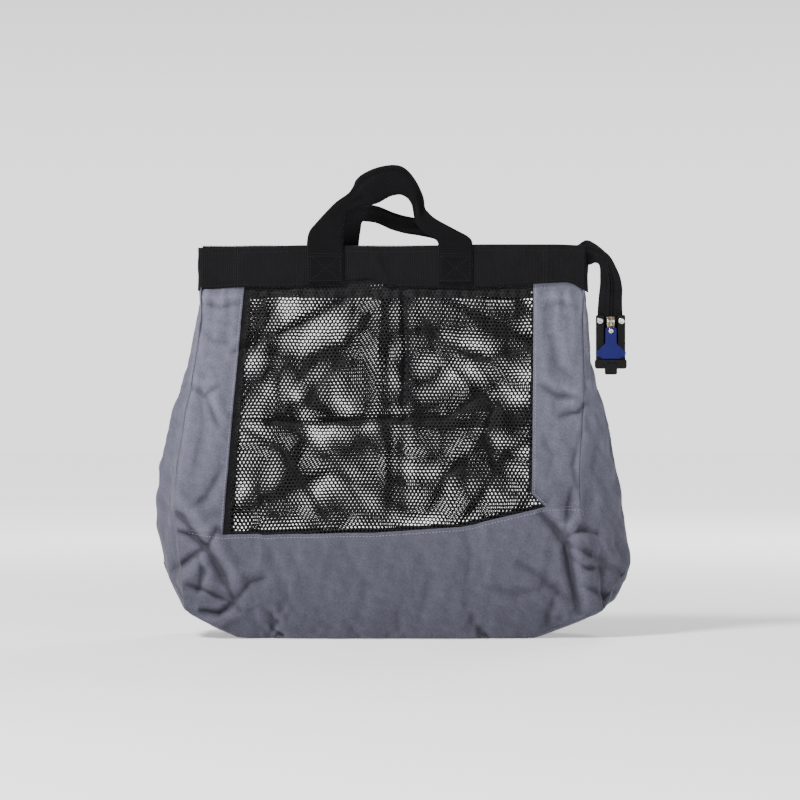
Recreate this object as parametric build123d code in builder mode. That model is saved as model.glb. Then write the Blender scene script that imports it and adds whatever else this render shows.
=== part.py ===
from build123d import *
import math
import os

# Zip-top carry bag: grey cotton with a mesh window in each wall, a black webbing band round
# the mouth, two webbing handles, and a zip tail that ends in a small seal lock.
# Millimetres. +Z is up, X runs along the mouth, the front wall faces -Y, and the origin is
# on the floor under the middle of the bag.

# ---- overall sizes ----
body_height = 468.0
band_height = 50.0
band_width = 462.0
mouth_depth = 18.0
base_depth = 112.0
base_flat_width = 300.0
ridge_width = 574.0

# ---- cloth and tape ----
cloth = 2.0
mesh_cloth = 1.2
webbing = 2.2
tape = 1.2
tape_width = 30.0
body_gap = 0.3

# ---- seams of the walls, as half widths and heights ----
seam_inset = 2.0
seam_low_x = 249.0
corner_z = 42.0
ridge_foot_z = 94.0
ridge_knee_z = 160.0
waist_z = 282.0
waist_out = 21.0
neck_z = 330.0
neck_out = 5.0
hem_height = 14.0
binding_width = 12.0
window_left_top = -178.0
window_left_low = -202.0
window_right_top = 168.0
window_right_low = 164.0
window_right_z = 174.0
lower_seam = [(-202, 125), (-23, 125), (80, 132), (138, 146), (182, 157)]
left_seam_z = 132.0
right_seam_z = 160.0

# ---- mouth zip ----
zip_sunk = 0.2
coil_height = 2.2
coil_half = 2.3
mouth_tape = 0.8
mouth_flange = 14.0

# ---- handles ----
handle_width = 40.0
handle_left_x = -82.0
handle_right_x = 74.0
rear_handle_left_x = -61.0
rear_handle_right_x = 76.0
handle_end_height = 43.8
handle_pivot_gap = 1.2
handle_end_gap = 2.2
front_grip = 8.0
rear_grip = 6.0

# ---- zip tail and its lock ----
tail_clear = 12.5
tail_drop = 28.0
tail_hinge_gap = 1.5
tail_above_bar = 15.0
tail_slit = 1.6
tail_coil_half = 2.6
tail_coil = 1.8
shoulder_root = 26.0
shoulder_drop = 6.0
lock_side = 2.5
lock_below_hinge = 56.0
lock_height = 70.0
lock_plate = 3.5
arm_width = 9.5
arm_depth = 3.8
bar_rise = 2.0
bar_height = 15.0
bar_depth = 7.0
rivet_below_top = 7.2
rivet_radius = 1.5
rivet_head_radius = 3.6
rivet_head = 0.7
rivet_fit = 0.05
slider_below_top = 14.0
slider_length = 12.0
slider_width = 9.6
slider_plate = 1.2
slider_play = 0.3
post_width = 1.0
post_length = 4.0
bridge_width = 3.0
bridge_play = 0.5
bridge_wall = 1.0
pull_thickness = 2.6
pull_clear = 0.3
pivot_rise = 4.7
eye_width = 8.0
eye_bar = 1.4
eye_window_width = 4.8
eye_window_height = 5.0
eye_length = 15.4
stem_width = 13.4
stem_below_pivot = 6.1
foot_width = 36.0
foot_height = 14.6
foot_corner = 3.0
foot_hollow = 4.0
foot_clear = 0.4
pull_rivet_below_pivot = 9.9
pull_rivet_radius = 1.2
pull_rivet_head = 3.0
latch_width = 14.0
latch_depth = 4.0
latch_proud = 0.6
latch_below_bar = 3.6
latch_height = 12.0
latch_play = 0.3
spring_height = 4.6
spring_radius = 1.8
spring_wall = 0.5

# ---- worked out from the sizes above ----
wall_top_z = body_height - band_height
seam_top_x = band_width / 2 - seam_inset
zip_top_z = body_height - zip_sunk
lean = math.atan((base_depth - mouth_depth) / 2 / wall_top_z)
wall_up = math.cos(lean)
front_face = Plane(
    origin=(0, -base_depth / 2, 0),
    x_dir=(1, 0, 0),
    z_dir=(0, -math.cos(lean), math.sin(lean)),
)
rear_face = Plane(
    origin=(0, base_depth / 2, 0),
    x_dir=(-1, 0, 0),
    z_dir=(0, math.cos(lean), math.sin(lean)),
)
front_inside = front_face.offset(-cloth - body_gap)
rear_inside = rear_face.offset(-cloth)
band_face = mouth_depth / 2
band_inside = band_face - webbing
slider_front = tape / 2 + tail_coil + slider_play + slider_plate
pull_back = tape / 2 + arm_depth + rivet_head + pull_clear
pivot_depth = pull_back + pull_thickness / 2
bridge_reach = pivot_depth + eye_bar / 2 + bridge_play + bridge_wall - slider_front
tail_hinge_z = body_height - tail_drop
shoulder_root_x = band_width / 2 - shoulder_root
lock_width = tape_width + 2 * lock_side
tail_x = band_width / 2 + tail_clear + lock_width / 2
lock_top_z = tail_hinge_z - lock_below_hinge
lock_low_z = lock_top_z - lock_height
bar_low_z = lock_low_z + bar_rise
bar_top_z = bar_low_z + bar_height
tail_end_z = bar_top_z + tail_above_bar
rivet_z = lock_top_z - rivet_below_top
slider_low_z = lock_top_z - slider_below_top
pivot_z = slider_low_z + pivot_rise
eye_low_z = pivot_z + eye_bar / 2 - eye_length
stem_top_z = pivot_z - stem_below_pivot
pull_rivet_z = pivot_z - pull_rivet_below_pivot
foot_low_z = bar_top_z + foot_clear
latch_low_z = bar_low_z - latch_below_bar
pieces = {}

os.makedirs("parts", exist_ok=True)


def keep(piece, name):
    """Label a finished piece and write it as its own STEP."""
    piece.label = name
    pieces[name] = piece
    export_step(piece, f"parts/{name}.step")


def keep_rear(name):
    """Write the rear wall's copy of a front piece."""
    with BuildPart() as rear:
        mirror(pieces["front_" + name], about=Plane.XZ)
    keep(rear.part, "rear_" + name)


def on_line(low, high, z):
    """The x at height z on the line between two (x, z) points."""
    share = (z - low[1]) / (high[1] - low[1])
    return low[0] + share * (high[0] - low[0])


def seam_x(z):
    """Half width of the walls at height z."""
    return on_line((seam_low_x, corner_z), (seam_top_x, wall_top_z), z)


def wall_sheet(outline, thickness):
    """A sheet in the front wall, from its (x, z) outline, flush with the wall's outer face."""
    with BuildPart() as sheet:
        with BuildSketch(front_face):
            with BuildLine():
                Polyline(*[(x, z / wall_up) for x, z in outline], close=True)
            make_face()
        extrude(amount=-thickness)
    return sheet.part


def upright_sheet(outline, back, thickness):
    """A sheet that faces -Y, from its (x, z) outline: back is its rear face's distance."""
    with BuildPart() as sheet:
        with BuildSketch(Plane.XZ.offset(back)):
            with BuildLine():
                Polyline(*outline, close=True)
            make_face()
        extrude(amount=thickness)
    return sheet.part


def rectangle(x_low, x_high, z_low, z_high):
    return [(x_low, z_low), (x_high, z_low), (x_high, z_high), (x_low, z_high)]


# ---- walls ----
window_top_left = (window_left_top, wall_top_z)
window_low_left = lower_seam[0]
window_top_right = (window_right_top, wall_top_z)
window_low_right = (window_right_low, window_right_z)
mesh_top_left = (window_left_top + binding_width, wall_top_z)
mesh_low_left = (window_left_low + binding_width, lower_seam[0][1])
hem_low_z = wall_top_z - hem_height
hem_left = (on_line(mesh_low_left, mesh_top_left, hem_low_z), hem_low_z)
hem_right = (on_line(window_low_right, window_top_right, hem_low_z), hem_low_z)

left_flank = [
    (-seam_x(wall_top_z), wall_top_z),
    window_top_left,
    window_low_left,
    (-seam_x(left_seam_z), left_seam_z),
]
right_flank = [
    window_top_right,
    (seam_x(wall_top_z), wall_top_z),
    (seam_x(right_seam_z), right_seam_z),
    lower_seam[-1],
    window_low_right,
]
lower_panel = [
    (-seam_x(left_seam_z), left_seam_z),
    *lower_seam,
    (seam_x(right_seam_z), right_seam_z),
    (seam_low_x, corner_z),
    (base_flat_width / 2, 0),
    (-base_flat_width / 2, 0),
    (-seam_low_x, corner_z),
]
mesh_panel = [hem_left, hem_right, window_low_right, *lower_seam[:0:-1], mesh_low_left]
keep(wall_sheet(left_flank, cloth), "front_left_flank")
keep(wall_sheet(right_flank, cloth), "front_right_flank")
keep(wall_sheet(lower_panel, cloth), "front_lower_panel")
keep(wall_sheet(mesh_panel, mesh_cloth), "front_mesh")
keep(wall_sheet([mesh_top_left, window_top_right, hem_right, hem_left], mesh_cloth), "front_mesh_hem")
keep(
    wall_sheet([window_top_left, mesh_top_left, mesh_low_left, window_low_left], mesh_cloth),
    "front_mesh_binding",
)

# ---- band round the mouth ----
band = rectangle(-band_width / 2, band_width / 2, wall_top_z, body_height)
keep(upright_sheet(band, band_inside, webbing), "front_band")

# ---- zip in the mouth: an angle of tape sewn inside the band, with half of the coil ----
tape_back = band_inside - mouth_tape
leaf_z = zip_top_z - coil_height / 2
with BuildPart() as zip_tape:
    with BuildSketch(Plane.YZ.offset(-band_width / 2 + webbing + body_gap)):
        with BuildLine():
            Polyline(
                (-band_inside, leaf_z - mouth_flange),
                (-band_inside, leaf_z),
                (-coil_half - body_gap / 2, leaf_z),
                (-coil_half - body_gap / 2, leaf_z - mouth_tape),
                (-tape_back, leaf_z - mouth_tape),
                (-tape_back, leaf_z - mouth_flange),
                close=True,
            )
        make_face()
    extrude(amount=band_width - 2 * webbing - 2 * body_gap)
keep(zip_tape.part, "front_zip_tape")

with BuildPart() as zip_coil:
    with BuildSketch(Plane.YZ.offset(-band_width / 2 + webbing + body_gap)):
        with Locations((-coil_half / 2 - body_gap / 2, zip_top_z - coil_height / 2)):
            Rectangle(coil_half, coil_height)
    extrude(amount=band_width - 2 * webbing - 2 * body_gap)
keep(zip_coil.part, "front_zip_coil")

# ---- the rear wall repeats the front one ----
for piece in (
    "left_flank",
    "right_flank",
    "lower_panel",
    "mesh",
    "mesh_hem",
    "mesh_binding",
    "band",
    "zip_tape",
    "zip_coil",
):
    keep_rear(piece)

# ---- base: a flat panel and two corners that turn up to the gussets ----
with BuildPart() as base_panel:
    with BuildSketch(Plane.XY):
        Rectangle(base_flat_width, base_depth)
    extrude(amount=cloth)
    split(bisect_by=front_inside, keep=Keep.BOTTOM)
    split(bisect_by=rear_inside, keep=Keep.BOTTOM)
keep(base_panel.part, "base_panel")

corner_line = [(base_flat_width / 2, 0), (seam_low_x, corner_z), (ridge_width / 2, ridge_foot_z)]
corner_sheet = corner_line + [(x, z + cloth) for x, z in reversed(corner_line)]
corner_plan = [
    (base_flat_width / 2, -base_depth / 2),
    (seam_low_x, -base_depth / 2),
    (ridge_width / 2, 0),
    (seam_low_x, base_depth / 2),
    (base_flat_width / 2, base_depth / 2),
]
with BuildPart() as right_corner:
    with BuildSketch(Plane.XZ):
        with BuildLine():
            Polyline(*corner_sheet, close=True)
        make_face()
    extrude(amount=base_depth / 2, both=True)
    with BuildSketch(Plane.XY):
        with BuildLine():
            Polyline(*corner_plan, close=True)
        make_face()
    extrude(amount=ridge_foot_z + 2 * cloth, mode=Mode.INTERSECT)
    split(bisect_by=front_inside, keep=Keep.BOTTOM)
    split(bisect_by=rear_inside, keep=Keep.BOTTOM)
keep(right_corner.part, "right_base_corner")

# ---- gussets: a folded sheet whose ridge swells outwards towards the base ----
ridge_line = [
    (corner_z / 2, ridge_width / 2),
    (ridge_foot_z + 3 * cloth, ridge_width / 2),
    (ridge_knee_z, ridge_width / 2 - 3),
    (waist_z, band_width / 2 + waist_out),
    (neck_z, band_width / 2 + neck_out),
    (wall_top_z, band_width / 2),
]
below_corner = [
    (base_flat_width / 2, -cloth),
    (base_flat_width / 2, cloth),
    (seam_low_x, corner_z + cloth),
    (ridge_width / 2, ridge_foot_z + cloth),
    (ridge_width / 2 + cloth, ridge_foot_z + cloth),
    (ridge_width / 2 + cloth, -cloth),
]
with BuildPart() as right_gusset:
    for z, ridge_x in ridge_line:
        half = base_depth / 2 - z * math.tan(lean)
        side_x = seam_x(z)
        with BuildSketch(Plane.XY.offset(z)):
            with BuildLine():
                Polyline(
                    (side_x, -half),
                    (ridge_x, 0),
                    (side_x, half),
                    (side_x - cloth, half),
                    (ridge_x - cloth, 0),
                    (side_x - cloth, -half),
                    close=True,
                )
            make_face()
    loft(ruled=True)
    with BuildSketch(Plane.XZ.offset(-base_depth / 2)):
        with BuildLine():
            Polyline(*below_corner, close=True)
        make_face()
    extrude(amount=base_depth, mode=Mode.SUBTRACT)
    split(bisect_by=front_inside, keep=Keep.BOTTOM)
    split(bisect_by=rear_inside, keep=Keep.BOTTOM)
keep(right_gusset.part, "right_gusset")

for name in ("base_corner", "gusset"):
    with BuildPart() as left_copy:
        mirror(pieces["right_" + name], about=Plane.YZ)
    keep(left_copy.part, "left_" + name)

# ---- ends of the band, over the gussets: the zip's shoulder passes above the right one ----
shoulder_low_z = tail_hinge_z + shoulder_drop
for side, sign, top_z in (("left", -1, body_height), ("right", 1, shoulder_low_z - cloth)):
    with BuildPart() as band_end:
        with BuildSketch(Plane.XY.offset(wall_top_z)):
            with Locations((sign * (band_width - webbing) / 2, body_gap / 2)):
                Rectangle(webbing, 2 * band_inside - body_gap)
        extrude(amount=top_z - wall_top_z)
    keep(band_end.part, f"{side}_band_end")

# ---- handles: each has two sewn ends, two legs and a thick grip, and leans to one side ----
leg_low_z = body_height + handle_pivot_gap
end_top_z = body_height - handle_end_gap
leg_half = handle_width / 2


def handle_end(x):
    """The sewn end of a handle, flat on the outside of the band."""
    return upright_sheet(
        rectangle(x - leg_half, x + leg_half, end_top_z - handle_end_height, end_top_z),
        band_face,
        webbing,
    )


def handle_leg(x, grip_end):
    """A leg from over the band at x up to the two corners of the grip's end."""
    top_left, top_right = sorted(grip_end)
    outline = [(x - leg_half, leg_low_z), (x + leg_half, leg_low_z), top_right, top_left]
    return upright_sheet(outline, band_face, webbing)


front_left_top = ((-51, body_height + 59), (-21, body_height + 47.5))
front_right_top = ((40, body_height + 40.5), (27, body_height + 24))
grip_back = band_face + webbing / 2 - front_grip / 2
with BuildPart() as front_grip_piece:
    with BuildSketch(Plane.XZ.offset(grip_back)):
        with BuildLine():
            ThreePointArc(front_left_top[0], (-6, body_height + 95), front_right_top[0])
            Line(front_right_top[0], front_right_top[1])
            ThreePointArc(front_right_top[1], (8, body_height + 56), front_left_top[1])
            Line(front_left_top[1], front_left_top[0])
        make_face()
    extrude(amount=front_grip)
front_handle = {
    "left_end": handle_end(handle_left_x),
    "right_end": handle_end(handle_right_x),
    "left_leg": handle_leg(handle_left_x, front_left_top),
    "right_leg": handle_leg(handle_right_x, front_right_top),
    "grip": front_grip_piece.part,
}
for name, piece in front_handle.items():
    keep(piece, "front_handle_" + name)

rear_left_top = ((-60, body_height + 46), (-36, body_height + 30))
rear_right_top = ((26, body_height + 32), (20, body_height + 13))
rear_grip_back = band_face + webbing / 2 - rear_grip / 2
with BuildPart() as rear_grip_piece:
    with BuildSketch(Plane.XZ.offset(rear_grip_back)):
        with BuildLine():
            ThreePointArc(rear_left_top[0], (-28, body_height + 50), rear_right_top[0])
            Line(rear_right_top[0], rear_right_top[1])
            Line(rear_right_top[1], rear_left_top[1])
            Line(rear_left_top[1], rear_left_top[0])
        make_face()
    extrude(amount=rear_grip)
rear_handle = {
    "left_end": handle_end(rear_handle_left_x),
    "right_end": handle_end(rear_handle_right_x),
    "left_leg": handle_leg(rear_handle_left_x, rear_left_top),
    "right_leg": handle_leg(rear_handle_right_x, rear_right_top),
    "grip": rear_grip_piece.part,
}
for name, piece in rear_handle.items():
    with BuildPart() as rear_copy:
        mirror(piece, about=Plane.XZ)
    keep(rear_copy.part, "rear_handle_" + name)

# ---- zip tail: the shoulder leaves the band, then both tapes hang from it ----
tail_left = tail_x - tape_width / 2
tail_right = tail_x + tape_width / 2
shoulder_top_z = leaf_z - coil_height - body_gap
shoulder_end_z = tail_hinge_z + tail_hinge_gap
with BuildPart() as shoulder:
    with BuildSketch(Plane.XZ.offset(-tape)):
        with BuildLine():
            Line((shoulder_root_x, shoulder_low_z), (shoulder_root_x, shoulder_top_z))
            Line((shoulder_root_x, shoulder_top_z), (tail_left, shoulder_top_z))
            RadiusArc((tail_left, shoulder_top_z), (tail_right, shoulder_end_z), tape_width)
            Line((tail_right, shoulder_end_z), (tail_left, shoulder_end_z))
            Line((tail_left, shoulder_end_z), (tail_left, shoulder_low_z))
            Line((tail_left, shoulder_low_z), (shoulder_root_x, shoulder_low_z))
        make_face()
    extrude(amount=2 * tape)
keep(shoulder.part, "tail_shoulder")

half_tape = (tape_width - tail_slit) / 2
tape_top_z = tail_hinge_z - tail_hinge_gap
coil_top_z = tail_hinge_z - 2 * tail_coil
hole_radius = rivet_radius + rivet_fit
arm_x = lock_width / 2 - arm_width / 2
for side, sign in (("inner", -1), ("outer", 1)):
    middle = tail_x + sign * (tail_slit + half_tape) / 2
    with BuildPart() as tail_tape:
        with BuildSketch(Plane.XZ.offset(-tape / 2)):
            with Locations((middle, (tape_top_z + tail_end_z) / 2)):
                Rectangle(half_tape, tape_top_z - tail_end_z)
            with Locations((tail_x + sign * arm_x, rivet_z)):
                Circle(hole_radius, mode=Mode.SUBTRACT)
        extrude(amount=tape)
    keep(tail_tape.part, f"tail_{side}_tape")

    coil_x = tail_x + sign * (tail_slit + tail_coil_half) / 2
    coil = rectangle(
        coil_x - tail_coil_half / 2, coil_x + tail_coil_half / 2, tail_end_z, coil_top_z
    )
    keep(upright_sheet(coil, tape / 2, tail_coil), f"tail_{side}_coil")

# ---- lock: the tapes are clamped between a back plate and a U-shaped front housing ----
groove_width = slider_width + 2 * slider_play
groove_depth = slider_play + slider_plate + slider_play
with BuildPart() as lock_plate_piece:
    with BuildSketch(Plane.XZ.offset(-tape / 2 - lock_plate)):
        with Locations((tail_x, (lock_low_z + lock_top_z) / 2)):
            RectangleRounded(lock_width, lock_top_z - lock_low_z, 2)
        with Locations((tail_x - arm_x, rivet_z), (tail_x + arm_x, rivet_z)):
            Circle(hole_radius, mode=Mode.SUBTRACT)
    extrude(amount=lock_plate)
    with BuildSketch(Plane.XZ.offset(-tape / 2)):
        with Locations((tail_x, (tail_end_z + lock_top_z) / 2 + slider_play)):
            Rectangle(groove_width, lock_top_z - tail_end_z + 2 * slider_play)
    extrude(amount=-groove_depth, mode=Mode.SUBTRACT)
keep(lock_plate_piece.part, "lock_back_plate")

pocket_width = latch_width + 2 * latch_play
pocket_depth = latch_depth - latch_play
pocket_top_z = latch_low_z + latch_height + spring_height
with BuildPart() as housing:
    with BuildSketch(Plane.XZ.offset(tape / 2)):
        with Locations((tail_x, (bar_low_z + lock_top_z) / 2)):
            RectangleRounded(lock_width, lock_top_z - bar_low_z, 2)
        with Locations((tail_x, (bar_top_z + lock_top_z + 2) / 2)):
            Rectangle(lock_width - 2 * arm_width, lock_top_z + 2 - bar_top_z, mode=Mode.SUBTRACT)
        with Locations((tail_x - arm_x, rivet_z), (tail_x + arm_x, rivet_z)):
            Circle(hole_radius, mode=Mode.SUBTRACT)
    extrude(amount=arm_depth)
    with BuildSketch(Plane.XZ.offset(tape / 2 + arm_depth)):
        with Locations((tail_x, (bar_low_z + bar_top_z) / 2)):
            RectangleRounded(lock_width, bar_top_z - bar_low_z, 2)
    extrude(amount=bar_depth - arm_depth)
    with BuildSketch(Plane.XZ.offset(tape / 2 + bar_depth)):
        with Locations((tail_x, (bar_low_z - 1 + pocket_top_z) / 2)):
            Rectangle(pocket_width, pocket_top_z - bar_low_z + 1)
    extrude(amount=-pocket_depth, mode=Mode.SUBTRACT)
keep(housing.part, "lock_front_housing")

with BuildPart() as rivets:
    with BuildSketch(Plane.XZ.offset(-tape / 2 - lock_plate)):
        with Locations((tail_x - arm_x, rivet_z), (tail_x + arm_x, rivet_z)):
            Circle(rivet_radius)
    extrude(amount=lock_plate + tape + arm_depth)
    for face_depth in (tape / 2 + arm_depth, -tape / 2 - lock_plate - rivet_head):
        with BuildSketch(Plane.XZ.offset(face_depth)):
            with Locations((tail_x - arm_x, rivet_z), (tail_x + arm_x, rivet_z)):
                Circle(rivet_head_radius)
        extrude(amount=rivet_head)
keep(rivets.part, "lock_rivets")

# ---- latch: a tab that is pressed down out of its pocket against a spring ----
latch_front = tape / 2 + bar_depth + latch_proud
latch = rectangle(
    tail_x - latch_width / 2, tail_x + latch_width / 2, latch_low_z, latch_low_z + latch_height
)
keep(upright_sheet(latch, latch_front - latch_depth, latch_depth), "latch_tab")

spring_depth = tape / 2 + bar_depth - pocket_depth / 2
with BuildPart() as spring:
    with BuildSketch(Plane.XY.offset(latch_low_z + latch_height)):
        with Locations((tail_x, -spring_depth)):
            Circle(spring_radius)
            Circle(spring_radius - spring_wall, mode=Mode.SUBTRACT)
    extrude(amount=spring_height)
keep(spring.part, "latch_spring")

# ---- slider: two plates joined by a post that runs in the slit between the tapes ----
slider_z = slider_low_z + slider_length / 2
with BuildPart() as slider:
    with BuildSketch(Plane.XZ.offset(slider_front - slider_plate)):
        with Locations((tail_x, slider_z)):
            RectangleRounded(slider_width, slider_length, 2)
    extrude(amount=slider_plate)
    with BuildSketch(Plane.XZ.offset(-tape / 2 - slider_play - slider_plate)):
        with Locations((tail_x, slider_z)):
            RectangleRounded(slider_width, slider_length, 2)
    extrude(amount=slider_plate)
    with BuildSketch(Plane.XZ.offset(-tape / 2 - slider_play)):
        with Locations((tail_x, slider_low_z + post_length / 2 + 1)):
            Rectangle(post_width, post_length)
    extrude(amount=tape / 2 + slider_play + slider_front - slider_plate)
keep(slider.part, "slider_body")

bridge_low_z = slider_low_z + bridge_wall / 2
bridge_top_z = slider_low_z + slider_length - bridge_wall / 2
with BuildPart() as bridge:
    with BuildSketch(Plane.YZ.offset(tail_x - bridge_width / 2)):
        with BuildLine():
            Polyline(
                (-slider_front, bridge_low_z),
                (-slider_front - bridge_reach, bridge_low_z),
                (-slider_front - bridge_reach, bridge_top_z),
                (-slider_front, bridge_top_z),
                (-slider_front, bridge_top_z - bridge_wall),
                (-slider_front - bridge_reach + bridge_wall, bridge_top_z - bridge_wall),
                (-slider_front - bridge_reach + bridge_wall, bridge_low_z + bridge_wall),
                (-slider_front, bridge_low_z + bridge_wall),
                close=True,
            )
        make_face()
    extrude(amount=bridge_width)
keep(bridge.part, "slider_bridge")

# ---- pull: an eye link through the bridge, riveted into the blue T ----
eye_top_z = pivot_z + eye_bar / 2
eye_back = pivot_depth - eye_bar / 2
with BuildPart() as eye:
    with BuildSketch(Plane.XZ.offset(eye_back)):
        with Locations((tail_x, (eye_low_z + eye_top_z) / 2)):
            Rectangle(eye_width, eye_top_z - eye_low_z)
        with Locations((tail_x, pivot_z - eye_bar / 2 - eye_window_height / 2)):
            Rectangle(eye_window_width, eye_window_height, mode=Mode.SUBTRACT)
        with Locations((tail_x, pull_rivet_z)):
            Circle(pull_rivet_radius + rivet_fit, mode=Mode.SUBTRACT)
    extrude(amount=eye_bar)
keep(eye.part, "pull_eye")

foot_top_z = foot_low_z + foot_height
foot_half = foot_width / 2
stem_half = stem_width / 2
with BuildPart() as pull:
    with BuildSketch(Plane.XZ.offset(pull_back)):
        with BuildLine():
            Line((tail_x - stem_half, stem_top_z), (tail_x + stem_half, stem_top_z))
            Line((tail_x + stem_half, stem_top_z), (tail_x + stem_half, foot_top_z + foot_hollow))
            Line(
                (tail_x + stem_half, foot_top_z + foot_hollow),
                (tail_x + stem_half + foot_hollow, foot_top_z),
            )
            Line((tail_x + stem_half + foot_hollow, foot_top_z), (tail_x + foot_half, foot_top_z))
            Line((tail_x + foot_half, foot_top_z), (tail_x + foot_half, foot_low_z))
            Line((tail_x + foot_half, foot_low_z), (tail_x - foot_half, foot_low_z))
            Line((tail_x - foot_half, foot_low_z), (tail_x - foot_half, foot_top_z))
            Line((tail_x - foot_half, foot_top_z), (tail_x - stem_half - foot_hollow, foot_top_z))
            Line(
                (tail_x - stem_half - foot_hollow, foot_top_z),
                (tail_x - stem_half, foot_top_z + foot_hollow),
            )
            Line((tail_x - stem_half, foot_top_z + foot_hollow), (tail_x - stem_half, stem_top_z))
        make_face()
    extrude(amount=pull_thickness)
    fillet(pull.edges().filter_by(Axis.Y).group_by(Axis.X)[0], foot_corner)
    fillet(pull.edges().filter_by(Axis.Y).group_by(Axis.X)[-1], foot_corner)
    with BuildSketch(Plane.XZ.offset(eye_back)):
        with Locations((tail_x, (eye_low_z + stem_top_z + 1) / 2)):
            Rectangle(eye_width, stem_top_z + 1 - eye_low_z)
    extrude(amount=eye_bar, mode=Mode.SUBTRACT)
    with BuildSketch(Plane.XZ.offset(pull_back)):
        with Locations((tail_x, pull_rivet_z)):
            Circle(pull_rivet_radius + rivet_fit)
    extrude(amount=pull_thickness, mode=Mode.SUBTRACT)
keep(pull.part, "t_pull")

with BuildPart() as pull_rivet:
    with BuildSketch(Plane.XZ.offset(pull_back)):
        with Locations((tail_x, pull_rivet_z)):
            Circle(pull_rivet_radius)
    extrude(amount=pull_thickness)
    with BuildSketch(Plane.XZ.offset(pull_back + pull_thickness)):
        with Locations((tail_x, pull_rivet_z)):
            Circle(pull_rivet_head)
    extrude(amount=rivet_head)
keep(pull_rivet.part, "pull_rivet")
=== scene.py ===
import logging
import math
from contextlib import contextmanager
from dataclasses import dataclass, field
from enum import Enum
from typing import Callable, Iterator, Sequence

import bmesh
import bpy
import numpy as np
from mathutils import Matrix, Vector


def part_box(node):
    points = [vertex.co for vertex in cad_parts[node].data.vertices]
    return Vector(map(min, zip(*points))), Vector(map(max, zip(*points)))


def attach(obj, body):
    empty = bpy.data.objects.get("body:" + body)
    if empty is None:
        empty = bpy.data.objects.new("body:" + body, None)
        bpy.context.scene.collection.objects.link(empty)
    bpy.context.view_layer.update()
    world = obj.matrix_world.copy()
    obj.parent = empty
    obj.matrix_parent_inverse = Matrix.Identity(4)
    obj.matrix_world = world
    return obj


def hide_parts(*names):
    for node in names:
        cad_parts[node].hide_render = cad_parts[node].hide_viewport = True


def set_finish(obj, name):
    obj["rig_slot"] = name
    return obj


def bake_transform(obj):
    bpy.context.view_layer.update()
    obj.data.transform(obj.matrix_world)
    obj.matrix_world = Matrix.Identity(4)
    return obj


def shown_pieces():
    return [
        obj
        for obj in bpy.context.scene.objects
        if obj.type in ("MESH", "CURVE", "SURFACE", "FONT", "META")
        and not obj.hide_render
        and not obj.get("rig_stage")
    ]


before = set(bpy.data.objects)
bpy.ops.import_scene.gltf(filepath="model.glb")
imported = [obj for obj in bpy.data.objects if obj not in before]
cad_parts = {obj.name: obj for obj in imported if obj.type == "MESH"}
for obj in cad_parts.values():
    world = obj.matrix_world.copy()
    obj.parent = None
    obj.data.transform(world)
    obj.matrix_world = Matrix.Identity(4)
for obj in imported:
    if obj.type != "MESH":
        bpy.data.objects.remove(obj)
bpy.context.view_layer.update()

MM = 0.001
log = logging.getLogger("bag")

Points = np.ndarray
Pair = tuple[float, float]
Surface = Callable[[Points, Points], Points]
Object = bpy.types.Object
Material = bpy.types.Material
Tree = bpy.types.NodeTree
Socket = bpy.types.NodeSocket


class Side(Enum):
    """Which wall of the bag, by the sign of its Y."""

    FRONT = -1
    REAR = 1


class Half(Enum):
    """Which half or hand of the bag, by the sign of its X."""

    LEFT = -1
    RIGHT = 1


# ---------------------------------------------------------------- small helpers


def linear(colour: str) -> tuple[float, ...]:
    """Turn an sRGB hex colour into the linear colour that a shader socket takes.

    Args:
        colour: six hex digits with a leading #.

    Returns:
        Red, green, blue and an alpha of 1.
    """
    parts = [int(colour[i : i + 2], 16) / 255 for i in (1, 3, 5)]
    return tuple(p / 12.92 if p <= 0.04045 else ((p + 0.055) / 1.055) ** 2.4 for p in parts) + (1.0,)


def wire(node: bpy.types.Node, inputs: dict) -> None:
    """Set or link a node's inputs: values or output sockets, by input name or number."""
    for key, value in inputs.items():
        if isinstance(value, Socket):
            node.id_data.links.new(value, node.inputs[key])
        else:
            node.inputs[key].default_value = value


def add_node(
    tree: Tree, kind: str, inputs: dict | None = None, out: str | int = 0, stops: Sequence = (), **settings
) -> Socket | None:
    """Add a node with its properties, colour stops and inputs.

    Args:
        tree: the node tree.
        kind: the node's type name.
        inputs: values or output sockets by input name or number.
        out: name or number of the output to return.
        stops: place and colour of each colour stop.
        **settings: properties of the node.

    Returns:
        The chosen output, or None if the node has no outputs.
    """
    node = tree.nodes.new(kind)
    for name, value in settings.items():
        setattr(node, name, value)
    for element, (place, colour) in zip(node.color_ramp.elements if stops else (), stops):
        element.position, element.color = place, colour
    wire(node, inputs or {})
    return node.outputs[out] if node.outputs else None


def linked(name: str, data: bpy.types.ID) -> Object:
    """Make an object of some data and link it to the scene."""
    obj = bpy.data.objects.new(name, data)
    bpy.context.scene.collection.objects.link(obj)
    return obj


@contextmanager
def edited(mesh: bpy.types.Mesh) -> Iterator[bmesh.types.BMesh]:
    """Open a mesh for editing and write it back."""
    shape = bmesh.new()
    shape.from_mesh(mesh)
    yield shape
    shape.to_mesh(mesh)
    shape.free()


def mesh_object(name: str, points: Points, faces: Sequence, uvs: Points | None = None) -> Object:
    """Make a smooth-shaded mesh object at the origin.

    Args:
        name: the piece's name.
        points: vertex positions in metres.
        faces: vertex numbers of each face.
        uvs: one UV for each vertex, in metres, or None.

    Returns:
        The linked object.
    """
    mesh = bpy.data.meshes.new(name)
    mesh.from_pydata(np.asarray(points, float).tolist(), [], [tuple(map(int, f)) for f in faces])
    mesh.shade_smooth()
    if uvs is not None:
        layer = mesh.uv_layers.new(name="cloth")
        corners = np.empty(len(mesh.loops), int)
        mesh.loops.foreach_get("vertex_index", corners)
        layer.data.foreach_set("uv", np.asarray(uvs, np.float32)[corners].ravel())
    return linked(name, mesh)


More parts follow.
